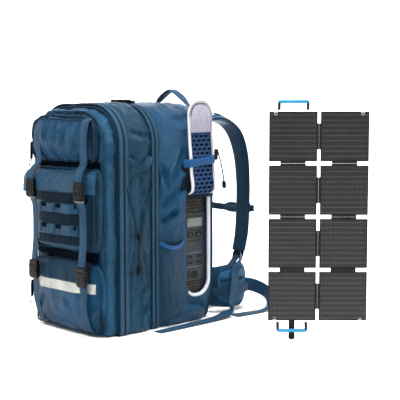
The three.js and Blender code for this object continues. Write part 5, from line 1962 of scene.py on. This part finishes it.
def make_panel_handles():
    turn = panel_matrix()
    for level, edge, way, body in (("upper", row_base(1) + TILE["height"], 1, "panel_handle_upper"),
                                   ("lower", 0.0, -1, "panel_handle_lower")):
        cx = column_centre(-1)
        at = lambda dx, lean, rise: turn @ Vector((cx + dx, -lean, edge + way * rise))
        line = smooth_path([at(-0.0355, 0.007, 0.0225), at(-0.0330, 0.0072, 0.0242), at(0, 0.0075, 0.0246),
                            at(0.0330, 0.0072, 0.0242), at(0.0355, 0.007, 0.0225)], 40)
        grip = tube(f"panel_grip_{level}", line, 0.0042, "grip", count=14)
        frames = frames_along(line, turn.to_3x3() @ Y)
        for i, (place, *_) in enumerate(frames):
            swell = 1 + 0.07 * (i % 2)
            for j in range(14):
                vertex = grip.data.vertices[i * 14 + j]
                vertex.co = place + (vertex.co - place) * swell
        parts = [grip]
        for s in (-1, 1):
            post = [at(s * 0.0355, 0.0004, 0.0042), at(s * 0.0358, 0.0035, 0.0110),
                    at(s * 0.0356, 0.0066, 0.0190),
                    at(s * 0.0346, 0.0073, 0.0236)]
            parts.append(band(f"panel_post_{level}_{s + 1}", post, turn.to_3x3() @ X, 0.0075, 0.0026,
                              "webbing_black", 16))
        made = join(f"panel_handle_{level}_set", *parts)
        put(made, body, f"panel_handle_{level}")
    cx = column_centre(-1)
    local = on_panel(cx, 0, 0)
    loop = [(-6.3, -0.4)] + [(6.3 * math.cos(a), -41.7 + 6.3 * math.sin(a))
                             for a in (math.pi + math.pi * i / 12 for i in range(13))] + [(6.3, -0.4)]
    body = plate("lead_end_body", [mm(loop)], 0.0040, 0.0014, local, "plastic")
    ribs = [plate(f"lead_end_rib_{i}", [mm(rounded_loop(5.2, 0.8, 0.6, (0, -6 - 4 * i)))], 0.0050, 0.0006,
                  local, "plastic")
            for i in range(6)]
    made = join("lead_end", body, *ribs)
    put(made, "tile_4_left", "panel_connector")


# ---------------------------------------------------------------- carried-over nodes
def paint(node, material):
    mesh = nodes[node].data
    mesh.materials.clear()
    mesh.materials.append(MATERIALS[material])


def make_stage():
    """A pale floor that turns up into a round backdrop."""
    points, count = [], 96
    profile = [(0.0, 0.0), (2.0, 0.0), (4.0, 0.0), (4.9, 0.05), (5.5, 0.25), (5.9, 0.65), (6.1, 1.3),
               (6.2, 2.6), (6.2, 5.0)]
    for radius, height in profile[1:]:
        for i in range(count):
            angle = 2 * math.pi * i / count
            points.append(Vector((radius * math.cos(angle), radius * math.sin(angle), height)))
    faces = ring_faces(len(profile) - 1, count)
    points.append(Vector((0, 0, 0)))
    faces += [((j + 1) % count, j, len(points) - 1) for j in range(count)]
    shader = Shader("floor_white", Roughness=0.9)
    shader.color((0.96, 0.96, 0.96, 1))
    MATERIALS["floor"] = shader.material
    floor = make_object("floor", points, faces, "floor")
    world = bpy.data.worlds.new("studio")
    scene.world = world
    world.use_nodes = True
    world.node_tree.nodes["Background"].inputs["Color"].default_value = (1.0, 1.0, 1.0, 1)
    world.node_tree.nodes["Background"].inputs["Strength"].default_value = 0.10
    add_light("key", (-0.3, -1.8, 3.6), (0, 0, 0.3), 0.9, 140)
    add_light("top", (0.6, 0.3, 3.6), (0, 0, 0.3), 0.9, 190)
    add_light("side", (2.4, 0.2, 3.4), (0.1, 0, 0.3), 0.7, 26)
    add_light("backdrop", (-1.3, 1.5, 2.6), (-4.4, 4.8, 1.6), 2.4, 260)
    scene.view_settings.view_transform = "Standard"


make_camera()
make_cords()
make_stage()
make_body()
make_zips()
make_pockets()
make_flap()
make_molle_rows()
make_reflective_strip()
make_front_straps()
make_window()
make_station()
make_cover()
make_bottle_pockets()
make_sliders()
make_handle()
make_top_buckle()
make_back()
make_shoulder_straps()
make_stabilisers()
make_sternum()
make_wings()
make_tiles()
make_panel_handles()

bpy.context.view_layer.update()
